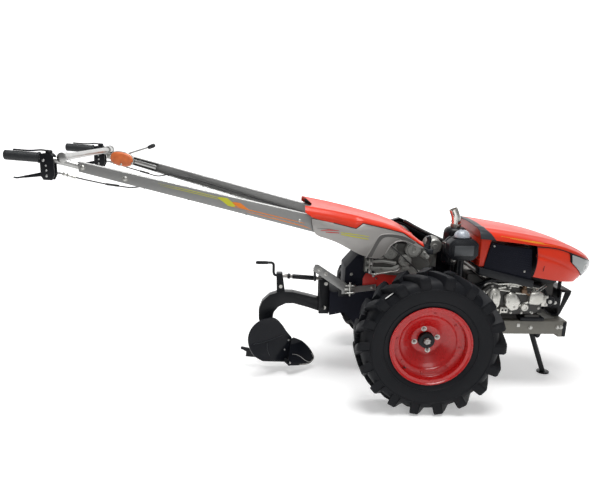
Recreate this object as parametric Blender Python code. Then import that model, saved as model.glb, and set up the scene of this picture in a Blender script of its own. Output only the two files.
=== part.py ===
"""Two-wheel walking tractor with a single-furrow plough on its rear hitch.

Metres, +X forward, +Y to the machine's left, +Z up, ground at Z = 0.
Every piece is drawn about the wheel axle's vertical plane (X = 0 there) and then placed
at AXLE_X, so that the whole machine is centred on the origin.
"""
import math

import bmesh
import bpy
from mathutils import Matrix, Vector

# Driving dimensions
GRIP_END = -1.800  # rear end of the grips, from the axle
NOSE_X = 0.852  # tip of the bonnet, from the axle
AXLE_X = -(GRIP_END + NOSE_X) / 2  # the axle's place once the machine is centred
WHEEL_R = 0.320  # tyre outer radius, 6.00-12
TYRE_HALF = 0.0825  # half of the tyre's section width
TRACK = 0.795  # between the wheels' centre planes
RIM_R = 0.178  # rim flange
HUB_FACE = 0.3705  # outer face of the wheel disc at the hub, from the centre plane
GAP = 0.0003  # between two pieces that touch
GEAR_HALF = 0.120  # half width of the upper gearbox
CASE_HALF = 0.085  # half width of the lower gearbox
RAIL_IN, RAIL_OUT = 0.157, 0.197  # engine rails, from the centre plane
RAIL_TOP, RAIL_BOTTOM = 0.348, 0.283
RAIL_FRONT = 0.664
STAND_PIVOT = Vector((0.625, 0.0, 0.244))
STAND_FOOT = Vector((0.719, 0.0, 0.0))
BONNET_PIVOT = Vector((0.720, 0.0, 0.560))
PLOUGH_PIVOT = Vector((-0.428, 0.0, 0.354))
HANDLE_Y = 0.363
PULLEY = Vector((-0.040, 0.0, 0.660))
FLYWHEEL = Vector((0.385, 0.0, 0.455))
SCREW_R = 0.009

MATERIALS = {
    "red_paint": ((0.62, 0.035, 0.02), 0.0, 0.3),
    "rim_red": ((0.45, 0.01, 0.012), 0.0, 0.3),
    "dark_paint": ((0.02, 0.022, 0.03), 0.1, 0.45),
    "grey_panel": ((0.30, 0.28, 0.26), 0.3, 0.4),
    "silver_paint": ((0.36, 0.36, 0.36), 0.6, 0.35),
    "frame_grey": ((0.20, 0.19, 0.17), 0.5, 0.4),
    "cast_aluminium": ((0.42, 0.41, 0.40), 0.8, 0.4),
    "bright_steel": ((0.60, 0.60, 0.60), 1.0, 0.25),
    "rubber": ((0.02, 0.02, 0.022), 0.0, 0.75),
    "black_plastic": ((0.025, 0.025, 0.028), 0.0, 0.5),
    "lamp_glass": ((0.55, 0.56, 0.58), 0.2, 0.15),
}

for old in list(bpy.data.objects):
    bpy.data.objects.remove(old)


def material(slot):
    mat = bpy.data.materials.get(slot)
    if mat:
        return mat
    colour, metallic, roughness = MATERIALS[slot]
    mat = bpy.data.materials.new(slot)
    mat.use_nodes = True
    shader = mat.node_tree.nodes["Principled BSDF"]
    shader.inputs["Base Color"].default_value = (*colour, 1.0)
    shader.inputs["Metallic"].default_value = metallic
    shader.inputs["Roughness"].default_value = roughness
    return mat


# Shapes: each returns a bmesh of one closed body
def hexa(lower, upper):
    """A block from four corners and the four above them."""
    bm = bmesh.new()
    a = [bm.verts.new(p) for p in lower]
    b = [bm.verts.new(p) for p in upper]
    bm.faces.new(a[::-1])
    bm.faces.new(b)
    for i in range(4):
        j = (i + 1) % 4
        bm.faces.new((a[i], a[j], b[j], b[i]))
    bmesh.ops.recalc_face_normals(bm, faces=bm.faces)
    return bm


def box(x0, x1, y0, y1, z0, z1):
    return hexa(
        [(x0, y0, z0), (x1, y0, z0), (x1, y1, z0), (x0, y1, z0)],
        [(x0, y0, z1), (x1, y0, z1), (x1, y1, z1), (x0, y1, z1)],
    )


def plate(outline, y0, y1, shear=0.0):
    """An outline in X and Z, made thick across Y. With shear, Y shifts by shear times X."""
    bm = bmesh.new()
    a = [bm.verts.new((x, y0 + shear * x, z)) for x, z in outline]
    b = [bm.verts.new((x, y1 + shear * x, z)) for x, z in outline]
    bm.faces.new(a)
    bm.faces.new(b[::-1])
    for i in range(len(outline)):
        j = (i + 1) % len(outline)
        bm.faces.new((a[j], a[i], b[i], b[j]))
    bmesh.ops.recalc_face_normals(bm, faces=bm.faces)
    return bm


def ring_about(origin, axis, radius, count, start=0.0):
    axis = Vector(axis).normalized()
    side = axis.cross(Vector((0, 0, 1)) if abs(axis.z) < 0.9 else Vector((1, 0, 0))).normalized()
    up = side.cross(axis).normalized()
    turn = [start + 2 * math.pi * i / count for i in range(count)]
    return [Vector(origin) + radius * (math.cos(t) * side + math.sin(t) * up) for t in turn]


def lathe(origin, axis, profile, count=24, start=0.0):
    """A closed profile of (distance along the axis, radius) turned round the axis."""
    bm = bmesh.new()
    axis = Vector(axis).normalized()
    rings = []
    for along, radius in profile:
        centre = Vector(origin) + axis * along
        if radius < 1e-6:
            rings.append([bm.verts.new(centre)])
        else:
            rings.append([bm.verts.new(p) for p in ring_about(centre, axis, radius, count, start)])
    for k in range(len(rings)):
        a, b = rings[k], rings[(k + 1) % len(rings)]
        if len(a) == 1 and len(b) == 1:
            continue
        for i in range(count):
            j = (i + 1) % count
            corners = [a[i % len(a)], a[j % len(a)], b[j % len(b)], b[i % len(b)]]
            bm.faces.new(list(dict.fromkeys(corners)))
    bmesh.ops.recalc_face_normals(bm, faces=bm.faces)
    return bm


def rod(start, end, r0, r1=None, count=16):
    start, end = Vector(start), Vector(end)
    length = (end - start).length
    r1 = r0 if r1 is None else r1
    return lathe(start, end - start, [(0, 0), (0, r0), (length, r1), (length, 0)], count)


def tube(points, radius, count=8):
    """A round bar along a path, mitred at each bend."""
    points = [Vector(p) for p in points]
    bm = bmesh.new()
    rings = []
    side = None
    for i, p in enumerate(points):
        before = (p - points[i - 1]).normalized() if i else None
        after = (points[i + 1] - p).normalized() if i < len(points) - 1 else None
        along = ((before or after) + (after or before)).normalized()
        stretch = 1.0 if before is None or after is None else 1.0 / max(along.dot(after), 0.4)
        reference = side if side is not None else Vector((0, 0, 1) if abs(along.y) > 0.9 else (0, 1, 0))
        side = (reference - along * reference.dot(along)).normalized()
        up = along.cross(side)
        ring = []
        for k in range(count):
            t = 2 * math.pi * (k + 0.5) / count
            offset = radius * (math.cos(t) * side + math.sin(t) * up)
            if before is not None and after is not None:
                bend = after - before
                if bend.length > 1e-6:
                    bend.normalize()
                    offset += bend * offset.dot(bend) * (stretch - 1.0)
            ring.append(bm.verts.new(p + offset))
        rings.append(ring)
    for a, b in zip(rings, rings[1:]):
        for k in range(count):
            j = (k + 1) % count
            bm.faces.new((a[k], a[j], b[j], b[k]))
    bm.faces.new(rings[0][::-1])
    bm.faces.new(rings[-1])
    bmesh.ops.recalc_face_normals(bm, faces=bm.faces)
    return bm


def skin(rows, thickness, across=False):
    """A sheet through rows of points, made thick on the side away from its faces' normals.

    Its two long edges are cut level, or straight across the machine, for another piece to meet.
    """
    bm = bmesh.new()
    grid = [[Vector(p) for p in row] for row in rows]
    count_u, count_v = len(grid), len(grid[0])
    normals = []
    for i in range(count_u):
        line = []
        for j in range(count_v):
            du = grid[min(i + 1, count_u - 1)][j] - grid[max(i - 1, 0)][j]
            dv = grid[i][min(j + 1, count_v - 1)] - grid[i][max(j - 1, 0)]
            normal = du.cross(dv)
            if j in (0, count_v - 1):
                normal.z = 0.0
                normal.x *= 0.0 if across else 1.0
            line.append(normal.normalized())
        normals.append(line)
    top = [[bm.verts.new(p) for p in row] for row in grid]
    under = [
        [bm.verts.new(grid[i][j] - normals[i][j] * thickness) for j in range(count_v)]
        for i in range(count_u)
    ]
    for i in range(count_u - 1):
        for j in range(count_v - 1):
            for sheet in (top, under):
                a, b, c, d = sheet[i][j], sheet[i + 1][j], sheet[i + 1][j + 1], sheet[i][j + 1]
                bm.faces.new((a, b, c) if sheet is top else (a, c, b))
                bm.faces.new((a, c, d) if sheet is top else (a, d, c))
    for j in range(count_v - 1):
        bm.faces.new((top[0][j], top[0][j + 1], under[0][j + 1], under[0][j]))
        bm.faces.new((top[-1][j + 1], top[-1][j], under[-1][j], under[-1][j + 1]))
    for i in range(count_u - 1):
        bm.faces.new((top[i + 1][0], top[i][0], under[i][0], under[i + 1][0]))
        bm.faces.new((top[i][-1], top[i + 1][-1], under[i + 1][-1], under[i][-1]))
    bmesh.ops.recalc_face_normals(bm, faces=bm.faces)
    return bm


def mirrored(bm):
    """The same body on the other side of the centre plane."""
    other = bm.copy()
    bmesh.ops.scale(other, vec=(1, -1, 1), verts=other.verts)
    bmesh.ops.reverse_faces(other, faces=other.faces)
    return other


def to_object(bm, name):
    bmesh.ops.triangulate(bm, faces=[f for f in bm.faces if len(f.verts) > 4])
    mesh = bpy.data.meshes.new(name)
    bm.to_mesh(mesh)
    bm.free()
    obj = bpy.data.objects.new(name, mesh)
    bpy.context.scene.collection.objects.link(obj)
    return obj


def combined(first, joined=(), cut=(), within=()):
    """One body from a first shape, others joined to it, others cut from it, kept within others."""
    base = to_object(first, "shape")
    helpers = []
    for operation, shapes in (("UNION", joined), ("DIFFERENCE", cut), ("INTERSECT", within)):
        for shape in shapes:
            helper = to_object(shape, "helper")
            helpers.append(helper)
            step = base.modifiers.new("step", "BOOLEAN")
            step.operation, step.solver, step.object = operation, "EXACT", helper
    bpy.context.view_layer.update()
    graph = bpy.context.evaluated_depsgraph_get()
    mesh = bpy.data.meshes.new_from_object(base.evaluated_get(graph))
    out = bmesh.new()
    out.from_mesh(mesh)
    for obj in [base, *helpers]:
        bpy.data.objects.remove(obj)
    return out


def piece(name, bm, slot, pivot=(0.0, 0.0, 0.0)):
    """A finished part, with its own origin at pivot."""
    pivot = Vector(pivot)
    bmesh.ops.translate(bm, vec=-pivot, verts=bm.verts)
    obj = to_object(bm, name)
    obj.data.materials.clear()
    obj.data.materials.append(material(slot))
    obj.location = pivot + Vector((AXLE_X, 0, 0))
    return obj


def pair(name, bm, slot, pivot=(0.0, 0.0, 0.0)):
    """A part drawn on the left, and the same on the right."""
    other = mirrored(bm)
    piece(name + "_left", bm, slot, pivot)
    piece(name + "_right", other, slot, (pivot[0], -pivot[1], pivot[2]))


# Wheels
def wheels():
    centre = Vector((0, TRACK / 2, WHEEL_R))
    axis = (0, 1, 0)
    carcass = [
        (-0.066, WHEEL_R - 0.004), (0.066, WHEEL_R - 0.004), (TYRE_HALF, 0.296), (TYRE_HALF, 0.255),
        (0.072, 0.205), (0.060, RIM_R + 0.0015), (0.060, 0.1562), (0.050, 0.1562),
        (0.052, 0.190), (0.066, 0.215), (0.069, 0.285), (0.050, 0.300),
        (-0.050, 0.300), (-0.069, 0.285), (-0.066, 0.215), (-0.052, 0.190),
        (-0.050, 0.1562), (-0.060, 0.1562), (-0.060, RIM_R + 0.0015), (-0.072, 0.205),
        (-TYRE_HALF, 0.255), (-TYRE_HALF, 0.296),
    ]
    carcass.insert(1, (0.0, WHEEL_R))
    pair("tyre", lathe(centre, axis, carcass, 48, math.pi / 2), "rubber", centre)
    face = HUB_FACE - TRACK / 2  # the disc's outer face at the hub, from the wheel's own centre
    rim = [
        (0.0603, 0.1557), (0.0603, RIM_R), (0.0663, RIM_R), (0.0663, 0.150),
        (0.022, 0.147), (0.017, 0.128), (face + 0.006, 0.075), (face, 0.055), (face, 0.0362),
        (face - 0.005, 0.0362), (face - 0.005, 0.058), (face + 0.001, 0.079), (0.012, 0.132),
        (0.016, 0.150), (-0.0663, 0.150), (-0.0663, RIM_R), (-0.0603, RIM_R), (-0.0603, 0.1557),
    ]
    pair("rim", lathe(centre, axis, rim, 40), "rim_red", centre)
    back = face - 0.005 - GAP
    hub = [
        (-0.127, 0), (-0.127, 0.022), (-0.0665, 0.022), (-0.0665, 0.040), (back - 0.010, 0.040),
        (back - 0.010, 0.066), (back, 0.066), (back, 0.0355), (face + 0.022, 0.0355),
        (face + 0.022, 0.020), (face + 0.034, 0.018), (face + 0.034, 0),
    ]
    pair("hub", lathe(centre, axis, hub, 24), "dark_paint", centre)


# Transmission
def transmission():
    case = plate(
        [(-0.330, 0.345), (-0.250, 0.262), (-0.120, 0.225), (0.110, 0.225), (0.170, 0.290),
         (0.170, 0.440), (0.120, 0.520), (0.060, 0.575), (-0.200, 0.640), (-0.270, 0.640),
         (-0.330, 0.570)],
        -CASE_HALF, CASE_HALF,
    )
    upper = plate(
        [(-0.245, 0.560), (0.040, 0.530), (0.062, 0.600), (0.040, 0.665), (-0.010, 0.700),
         (-0.240, 0.700)],
        -GEAR_HALF, GEAR_HALF,
    )
    caps = [
        rod((-0.026, -0.110, 0.672), (-0.026, -0.136, 0.672), 0.034, count=20),
        rod((-0.062, -0.110, 0.618), (-0.062, -0.132, 0.618), 0.030, count=20),
        rod((-0.135, -0.110, 0.655), (-0.135, -0.130, 0.655), 0.032, count=20),
    ]
    inner, outer = CASE_HALF - 0.010, 0.325
    tunnel = [
        (inner, 0), (inner, 0.078), (inner + 0.024, 0.078), (inner + 0.036, 0.058),
        (outer - 0.020, 0.052), (outer - 0.014, 0.066), (outer, 0.066), (outer, 0.0230),
        (TRACK / 2 - 0.129, 0.0230), (TRACK / 2 - 0.129, 0),
    ]
    left = lathe((0, 0, WHEEL_R), (0, 1, 0), tunnel, 24)
    right = mirrored(left)
    piece("gearbox", combined(case, [upper, *caps, left, right, hitch_block()]), "cast_aluminium")


def hitch_block():
    """The casting's rear boss, which takes the hitch."""
    return plate([(-0.310, 0.349), (-0.400, 0.330), (-0.400, 0.450), (-0.310, 0.450)],
                 -CASE_HALF, CASE_HALF)


# Engine frame and stand
def frame():
    rail = box(0.190, RAIL_FRONT + 0.010, RAIL_IN, RAIL_OUT, RAIL_BOTTOM, RAIL_TOP)
    hollow = box(0.210, RAIL_FRONT - 0.010, RAIL_IN - 0.05, RAIL_OUT - 0.006,
                 RAIL_BOTTOM + 0.007, RAIL_TOP - 0.007)
    rail = combined(rail, cut=[hollow])
    back = box(0.170 + GAP, 0.200, -RAIL_OUT, RAIL_OUT, 0.278, 0.400)
    front = box(RAIL_FRONT, 0.700, -RAIL_OUT, RAIL_OUT, 0.270, RAIL_TOP)
    other = mirrored(rail)
    piece("engine_frame", combined(back, [rail, other, front]), "frame_grey")
    top = RAIL_TOP + GAP
    x, z = BONNET_PIVOT.x, BONNET_PIVOT.z
    horns = [plate([(0.690, 0.460), (0.702, 0.460), (0.706, z - 0.022), (0.728, z - 0.010),
                    (0.730, z + 0.004), (0.722, z + 0.012), (0.690, z + 0.012)],
                   s * 0.090 - 0.004, s * 0.090 + 0.004) for s in (1, -1)]
    guard = combined(
        box(0.690, 0.698, -0.120, 0.120, top, 0.474),
        [box(0.690, 0.742, -0.120, 0.120, 0.466, 0.474),
         box(0.625, 0.694, 0.112, 0.120, 0.390, 0.440),
         box(0.625, 0.694, -0.120, -0.112, 0.390, 0.440),
         box(0.666, 0.698, -0.120, 0.120, top, top + 0.008),
         *horns, rod((x, -0.145, z), (x, 0.145, z), 0.006, count=16)],
    )
    piece("front_guard", guard, "black_plastic")
    x, z = STAND_PIVOT.x, STAND_PIVOT.z
    down = (STAND_FOOT - STAND_PIVOT).normalized()
    ahead = Vector((-down.z, 0, down.x))
    reach = 0.0125 + GAP
    low = STAND_PIVOT + down * 0.060 + ahead * reach
    high = STAND_PIVOT + down * 0.022 + ahead * reach
    nose = low + ahead * 0.012
    stop = plate([(high.x, high.z), (low.x, low.z), (nose.x, nose.z), (0.698, 0.267),
                  (0.655, 0.267)], -0.0175, 0.0175)
    plate_top = box(x - 0.025, 0.700, -0.040, 0.040, 0.2637, 0.270 - GAP)
    lugs = [box(x - 0.020, x + 0.020, s * 0.024 - 0.004, s * 0.024 + 0.004, z - 0.014, 0.266)
            for s in (1, -1)]
    pin = rod((x, -0.032, z), (x, 0.032, z), 0.006, count=16)
    piece("stand_bracket", combined(plate_top, [stop, *lugs, pin]), "black_plastic")
    leg = combined(
        rod(STAND_PIVOT + down * 0.009, STAND_FOOT + Vector((-0.0008, 0, 0.003)), 0.0125, count=16),
        [rod((x, -0.016, z), (x, 0.016, z), 0.014, count=20),
         rod((STAND_FOOT.x, 0, 0), (STAND_FOOT.x, 0, 0.007), 0.030, count=24)],
        [rod((x, -0.05, z), (x, 0.05, z), 0.0068, count=16),
         box(0.5, 0.9, -0.1, 0.1, -0.1, 0.0)],
    )
    piece("stand_leg", leg, "black_plastic", STAND_PIVOT)


# Engine
def tray_top(x):
    return 0.6105 - 0.245 * (x - 0.262)


def engine():
    base = RAIL_TOP + GAP
    block = plate(
        [(0.235, 0.372), (0.600, 0.372), (0.600, 0.5097), (0.527, 0.5097),
         (0.515, tray_top(0.515) - 0.036 - GAP), (0.300, tray_top(0.300) - 0.036 - GAP),
         (0.235, 0.560)],
        -0.150, 0.130,
    )
    sump = box(0.250, 0.590, -0.120, 0.120, 0.300, 0.380)
    feet = [box(a, b, s * 0.190 - 0.060, s * 0.190 + 0.006, base, 0.378) if s > 0 else
            box(a, b, s * 0.190 - 0.006, s * 0.190 + 0.060, base, 0.378)
            for a, b in ((0.270, 0.340), (0.500, 0.570)) for s in (1, -1)]
    head = box(0.590, 0.662, -0.105, 0.105, 0.385, 0.5097)
    wheel = [(0.120, 0), (0.120, 0.060), (0.136, 0.060), (0.136, 0.095), (0.156, 0.095),
             (0.156, 0.040), (0.172, 0.040), (0.172, 0.060), (0.200, 0.060), (0.200, 0)]
    flywheel = lathe((FLYWHEEL.x, 0, FLYWHEEL.z), (0, 1, 0), wheel, 28)
    piece("engine_block", combined(block, [sump, *feet, head, flywheel]), "dark_paint")
    cover = plate(
        [(0.330, 0.380), (0.545, 0.380), (0.575, 0.405), (0.575, 0.470), (0.540, 0.500),
         (0.420, 0.512), (0.330, 0.522), (0.290, 0.490), (0.290, 0.410)],
        -0.186, -0.150 - GAP,
    )
    piece("gear_cover", cover, "cast_aluminium")
    wheel = [(GEAR_HALF + GAP, 0), (GEAR_HALF + GAP, 0.030), (0.172, 0.030), (0.172, 0.080),
             (0.200, 0.080), (0.200, 0)]
    piece("clutch_pulley", lathe((PULLEY.x, 0, PULLEY.z), (0, 1, 0), wheel, 28), "frame_grey")
    belt()
    guard_outline = [
        (-0.140, 0.600), (-0.135, 0.690), (-0.087, 0.748), (-0.020, 0.767), (0.040, 0.742),
        (0.085, 0.715), (0.300, 0.617), (0.420, 0.585), (0.475, 0.545), (0.500, 0.480),
        (0.485, 0.405), (0.440, 0.360), (0.360, 0.360), (0.290, 0.385), (0.020, 0.545),
        (-0.080, 0.560),
    ]
    centre = Vector((0.17, 0, 0.56))
    inset = []
    count = len(guard_outline)
    for i, (gx, gz) in enumerate(guard_outline):
        a, b = Vector(guard_outline[i - 1]), Vector(guard_outline[(i + 1) % count])
        n = (b - a).normalized()
        inset.append((gx - 0.004 * -n.y, gz - 0.004 * n.x))
    shell = combined(plate(guard_outline, 0.206, 0.240), cut=[plate(inset, 0.150, 0.236)])
    # Its stay reaches in and down to the frame's rear plate.
    stay = tube([(0.185, 0.2385, 0.562), (0.185, 0.222, 0.552), (0.185, 0.220, 0.445),
                 (0.185, 0.182, 0.420), (0.185, 0.182, 0.400 + GAP)], 0.006)
    piece("belt_guard", combined(shell, [stay]), "black_plastic")


def hull_loop(r_small, r_large, count=16):
    """The outline of a belt round the flywheel pulley and the clutch pulley."""
    a, b = Vector((PULLEY.x, PULLEY.z)), Vector((FLYWHEEL.x, FLYWHEEL.z))
    way = b - a
    heading = math.atan2(way.y, way.x)
    lean = math.asin((r_large - r_small) / way.length)
    points = []
    for centre, radius, start, end in (
        (a, r_large, heading + math.pi / 2 - lean, heading + 3 * math.pi / 2 + lean),
        (b, r_small, heading - math.pi / 2 + lean, heading + math.pi / 2 - lean),
    ):
        for i in range(count + 1):
            t = start + (end - start) * i / count
            points.append((centre.x + radius * math.cos(t), centre.y + radius * math.sin(t)))
    return points


def belt():
    outer = plate(hull_loop(0.070, 0.090), 0.174, 0.198)
    inner = plate(hull_loop(0.0606, 0.0806), 0.160, 0.210)
    piece("drive_belt", combined(outer, cut=[inner]), "rubber")


# Cooling, fuel, intake and exhaust, under and behind the bonnet
def top_of_engine():
    tray = plate([(0.262, tray_top(0.262)), (0.262, tray_top(0.262) - 0.036),
                  (0.515, tray_top(0.515) - 0.036), (0.515, tray_top(0.515))], -0.215, 0.120)
    piece("bonnet_tray", tray, "black_plastic")
    a, b = 0.300, 0.490
    core = plate([(a, tray_top(a) + GAP), (b, tray_top(b) + GAP), (b, 0.700), (a, 0.715)],
                 -0.190, 0.060)
    fan = rod((0.395, 0.050, 0.640), (0.395, 0.108, 0.640), 0.050, count=20)
    piece("radiator", combined(core, [fan]), "dark_paint")
    c, d = 0.283, 0.506
    screen = plate([(c, tray_top(c) + GAP), (d, tray_top(d) + GAP), (0.494, 0.694), (0.310, 0.722)],
                   -0.207, -0.190 - GAP)
    piece("radiator_screen", screen, "black_plastic")
    piece("rear_panel", box(0.264, 0.270, -0.200, 0.110, tray_top(0.264) + GAP, 0.750),
          "red_paint")
    tank = plate([(0.535, 0.510), (0.660, 0.510), (0.688, 0.540), (0.688, 0.630), (0.620, 0.672),
                  (0.535, 0.690)], -0.120, 0.120)
    piece("fuel_tank", tank, "dark_paint")
    muffler = lathe((0.190, -0.052, 0.590), (0, 0, 1),
                    [(0, 0), (0, 0.046), (0.012, 0.055), (0.160, 0.052), (0.175, 0.040), (0.175, 0)],
                    24)
    elbow = tube([(0.190, -0.052, 0.600), (0.190, -0.052, 0.520), (0.202, -0.052, 0.500),
                  (0.250, -0.052, 0.495)], 0.018, 12)
    engine_side = 0.235 - GAP
    clear = [box(engine_side, 0.30, -0.30, 0.10, 0.40, 0.60)]
    tip = tube([(0.190, -0.052, 0.755), (0.190, -0.052, 0.790), (0.184, -0.052, 0.815),
                (0.170, -0.052, 0.855)], 0.017, 14)
    piece("muffler", combined(muffler, [elbow, tip], clear), "black_plastic")
    cleaner = plate([(0.118, 0.660), (0.140, 0.642), (0.228, 0.642), (0.250, 0.660),
                     (0.250, 0.722), (0.232, 0.738), (0.136, 0.738), (0.118, 0.722)],
                    -0.215, -0.125)
    dome = lathe((0.185, -0.170, 0.730), (0, 0, 1),
                 [(0, 0), (0, 0.036), (0.016, 0.036), (0.030, 0.024), (0.036, 0.008), (0.036, 0)], 20)
    pipe = tube([(0.190, -0.165, 0.650), (0.190, -0.160, 0.560), (0.200, -0.140, 0.490),
                 (0.250, -0.130, 0.440)], 0.016, 12)
    clear = [box(engine_side, 0.30, -0.30, 0.10, 0.40, 0.60)]
    piece("air_cleaner", combined(cleaner, [dome, pipe], clear), "black_plastic")


# Bonnet: (X, top, crease Y, crease Z, edge Y, edge Z)
BONNET = [
    (0.255, 0.794, 0.195, 0.778, 0.222, 0.744),
    (0.320, 0.787, 0.195, 0.770, 0.222, 0.737),
    (0.440, 0.769, 0.190, 0.750, 0.218, 0.722),
    (0.517, 0.754, 0.184, 0.736, 0.212, 0.711),
    (0.610, 0.731, 0.172, 0.716, 0.199, 0.697),
    (0.690, 0.704, 0.150, 0.691, 0.175, 0.670),
    (0.770, 0.664, 0.112, 0.655, 0.130, 0.638),
    (0.822, 0.632, 0.066, 0.627, 0.076, 0.615),
    (NOSE_X, 0.609, 0.026, 0.606, 0.030, 0.598),
]
# The lower cowl's edges, from the left flank round the nose: (X, Y) above, (X, Y, Z) below
COWL = [
    (0.517, 0.212, 0.7104, 0.517, 0.204, 0.563),
    (0.610, 0.199, 0.6964, 0.608, 0.190, 0.545),
    (0.690, 0.175, 0.6694, 0.676, 0.164, 0.533),
    (0.770, 0.130, 0.6374, 0.738, 0.112, 0.522),
    (0.822, 0.076, 0.6144, 0.778, 0.060, 0.514),
    (NOSE_X, 0.030, 0.5974, 0.798, 0.022, 0.510),
]


def bonnet_row(x, top, cy, cz, ey, ez, lift=0.0):
    mid = top - (top - cz) * 0.30
    half = [(cy * 0.55, mid), (cy, cz), (ey * 0.5 + cy * 0.5 + 0.006, cz * 0.5 + ez * 0.5), (ey, ez)]
    right = [(x, -y, z + lift) for y, z in half[::-1]]
    left = [(x, y, z + lift) for y, z in half]
    return right + [(x, 0.0, top + lift)] + left


def cowl_point(s, t):
    """A point of the cowl, s from 0 at the flank to 1 at the nose and t from 0 above to 1 below."""
    place = s * (len(COWL) - 1)
    i = min(int(place), len(COWL) - 2)
    f = place - i
    row = [a + (b - a) * f for a, b in zip(COWL[i], COWL[i + 1])]
    above, below = Vector(row[:3]), Vector(row[3:])
    bulge = 0.012 * math.sin(math.pi * t)
    out = Vector((0.35 + 0.65 * s, 1.0 - 0.8 * s, 0)).normalized()
    return above + (below - above) * t + out * bulge


def lifted(rows, height):
    """The rows of a sheet moved out along its normals."""
    out = []
    for i, row in enumerate(rows):
        line = []
        for j, p in enumerate(row):
            du = rows[min(i + 1, len(rows) - 1)][j] - rows[max(i - 1, 0)][j]
            dv = row[min(j + 1, len(row) - 1)] - row[max(j - 1, 0)]
            normal = du.cross(dv)
            if j in (0, len(row) - 1):
                normal.z = 0.0
            line.append(p + normal.normalized() * height)
        out.append(line)
    return out


def bonnet():
    rows = [bonnet_row(*station) for station in BONNET]
    shell = skin([row[::-1] for row in rows], -0.0035)
    piece("bonnet", shell, "red_paint", BONNET_PIVOT)
    steps = [i / 10 for i in range(11)]
    levels = [0.0, 0.35, 0.7, 1.0]
    left = [[cowl_point(s, t) for t in levels] for s in steps]
    flip = [[Vector((p.x, -p.y, p.z)) for p in column] for column in left]
    cowl = skin(left + flip[::-1], 0.0035)
    x, z = BONNET_PIVOT.x, BONNET_PIVOT.z
    ears = []
    for s in (1, -1):
        ear = plate([(0.690, z + 0.022), (0.730, z + 0.014), (0.734, z - 0.012), (0.700, z - 0.014),
                     (0.652, z - 0.004), (0.652, z + 0.022)], -0.003, 0.003)
        bmesh.ops.translate(ear, vec=(0, s * 0.136, 0), verts=ear.verts)
        ears.append(ear)
        web = hexa([(0.655, s * 0.134, z - 0.003), (0.668, s * 0.134, z - 0.003),
                    (0.668, s * 0.1760, z - 0.003), (0.655, s * 0.1800, z - 0.003)],
                   [(0.655, s * 0.134, z + 0.003), (0.668, s * 0.134, z + 0.003),
                    (0.668, s * 0.1760, z + 0.003), (0.655, s * 0.1800, z + 0.003)])
        ears.append(web)
    bores = [rod((x, -0.2, z), (x, 0.2, z), 0.0066, count=16)]
    piece("nose_cowl", combined(cowl, ears, bores), "red_paint", BONNET_PIVOT)
    lens = [(0.655, 0.676), (0.720, 0.652), (0.790, 0.622), (0.838, 0.594), (0.828, 0.574),
            (0.765, 0.560), (0.700, 0.592), (0.655, 0.632)]
    for side, s in (("left", 1), ("right", -1)):
        columns = [[cowl_point(k, t) for t in levels] for k in steps]
        lamp = skin(lifted(columns, 0.0065), 0.0075)
        if s < 0:
            lamp = mirrored(lamp)
        backing = skin(lifted(left + flip[::-1], GAP), 0.012)
        lamp = combined(lamp, cut=[backing],
                        within=[plate(lens, s * 0.120 - 0.110, s * 0.120 + 0.110)])
        piece("headlight_" + side, lamp, "lamp_glass", BONNET_PIVOT)


# Handle frame
def beam_outer(x):
    return 0.1147 - 0.1545 * x


def beam_top(x):
    return 0.845 - 0.249 * (x + 0.51)


def beam_bottom(x):
    return 0.770 - 0.2820 * (x + 0.51)


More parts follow.
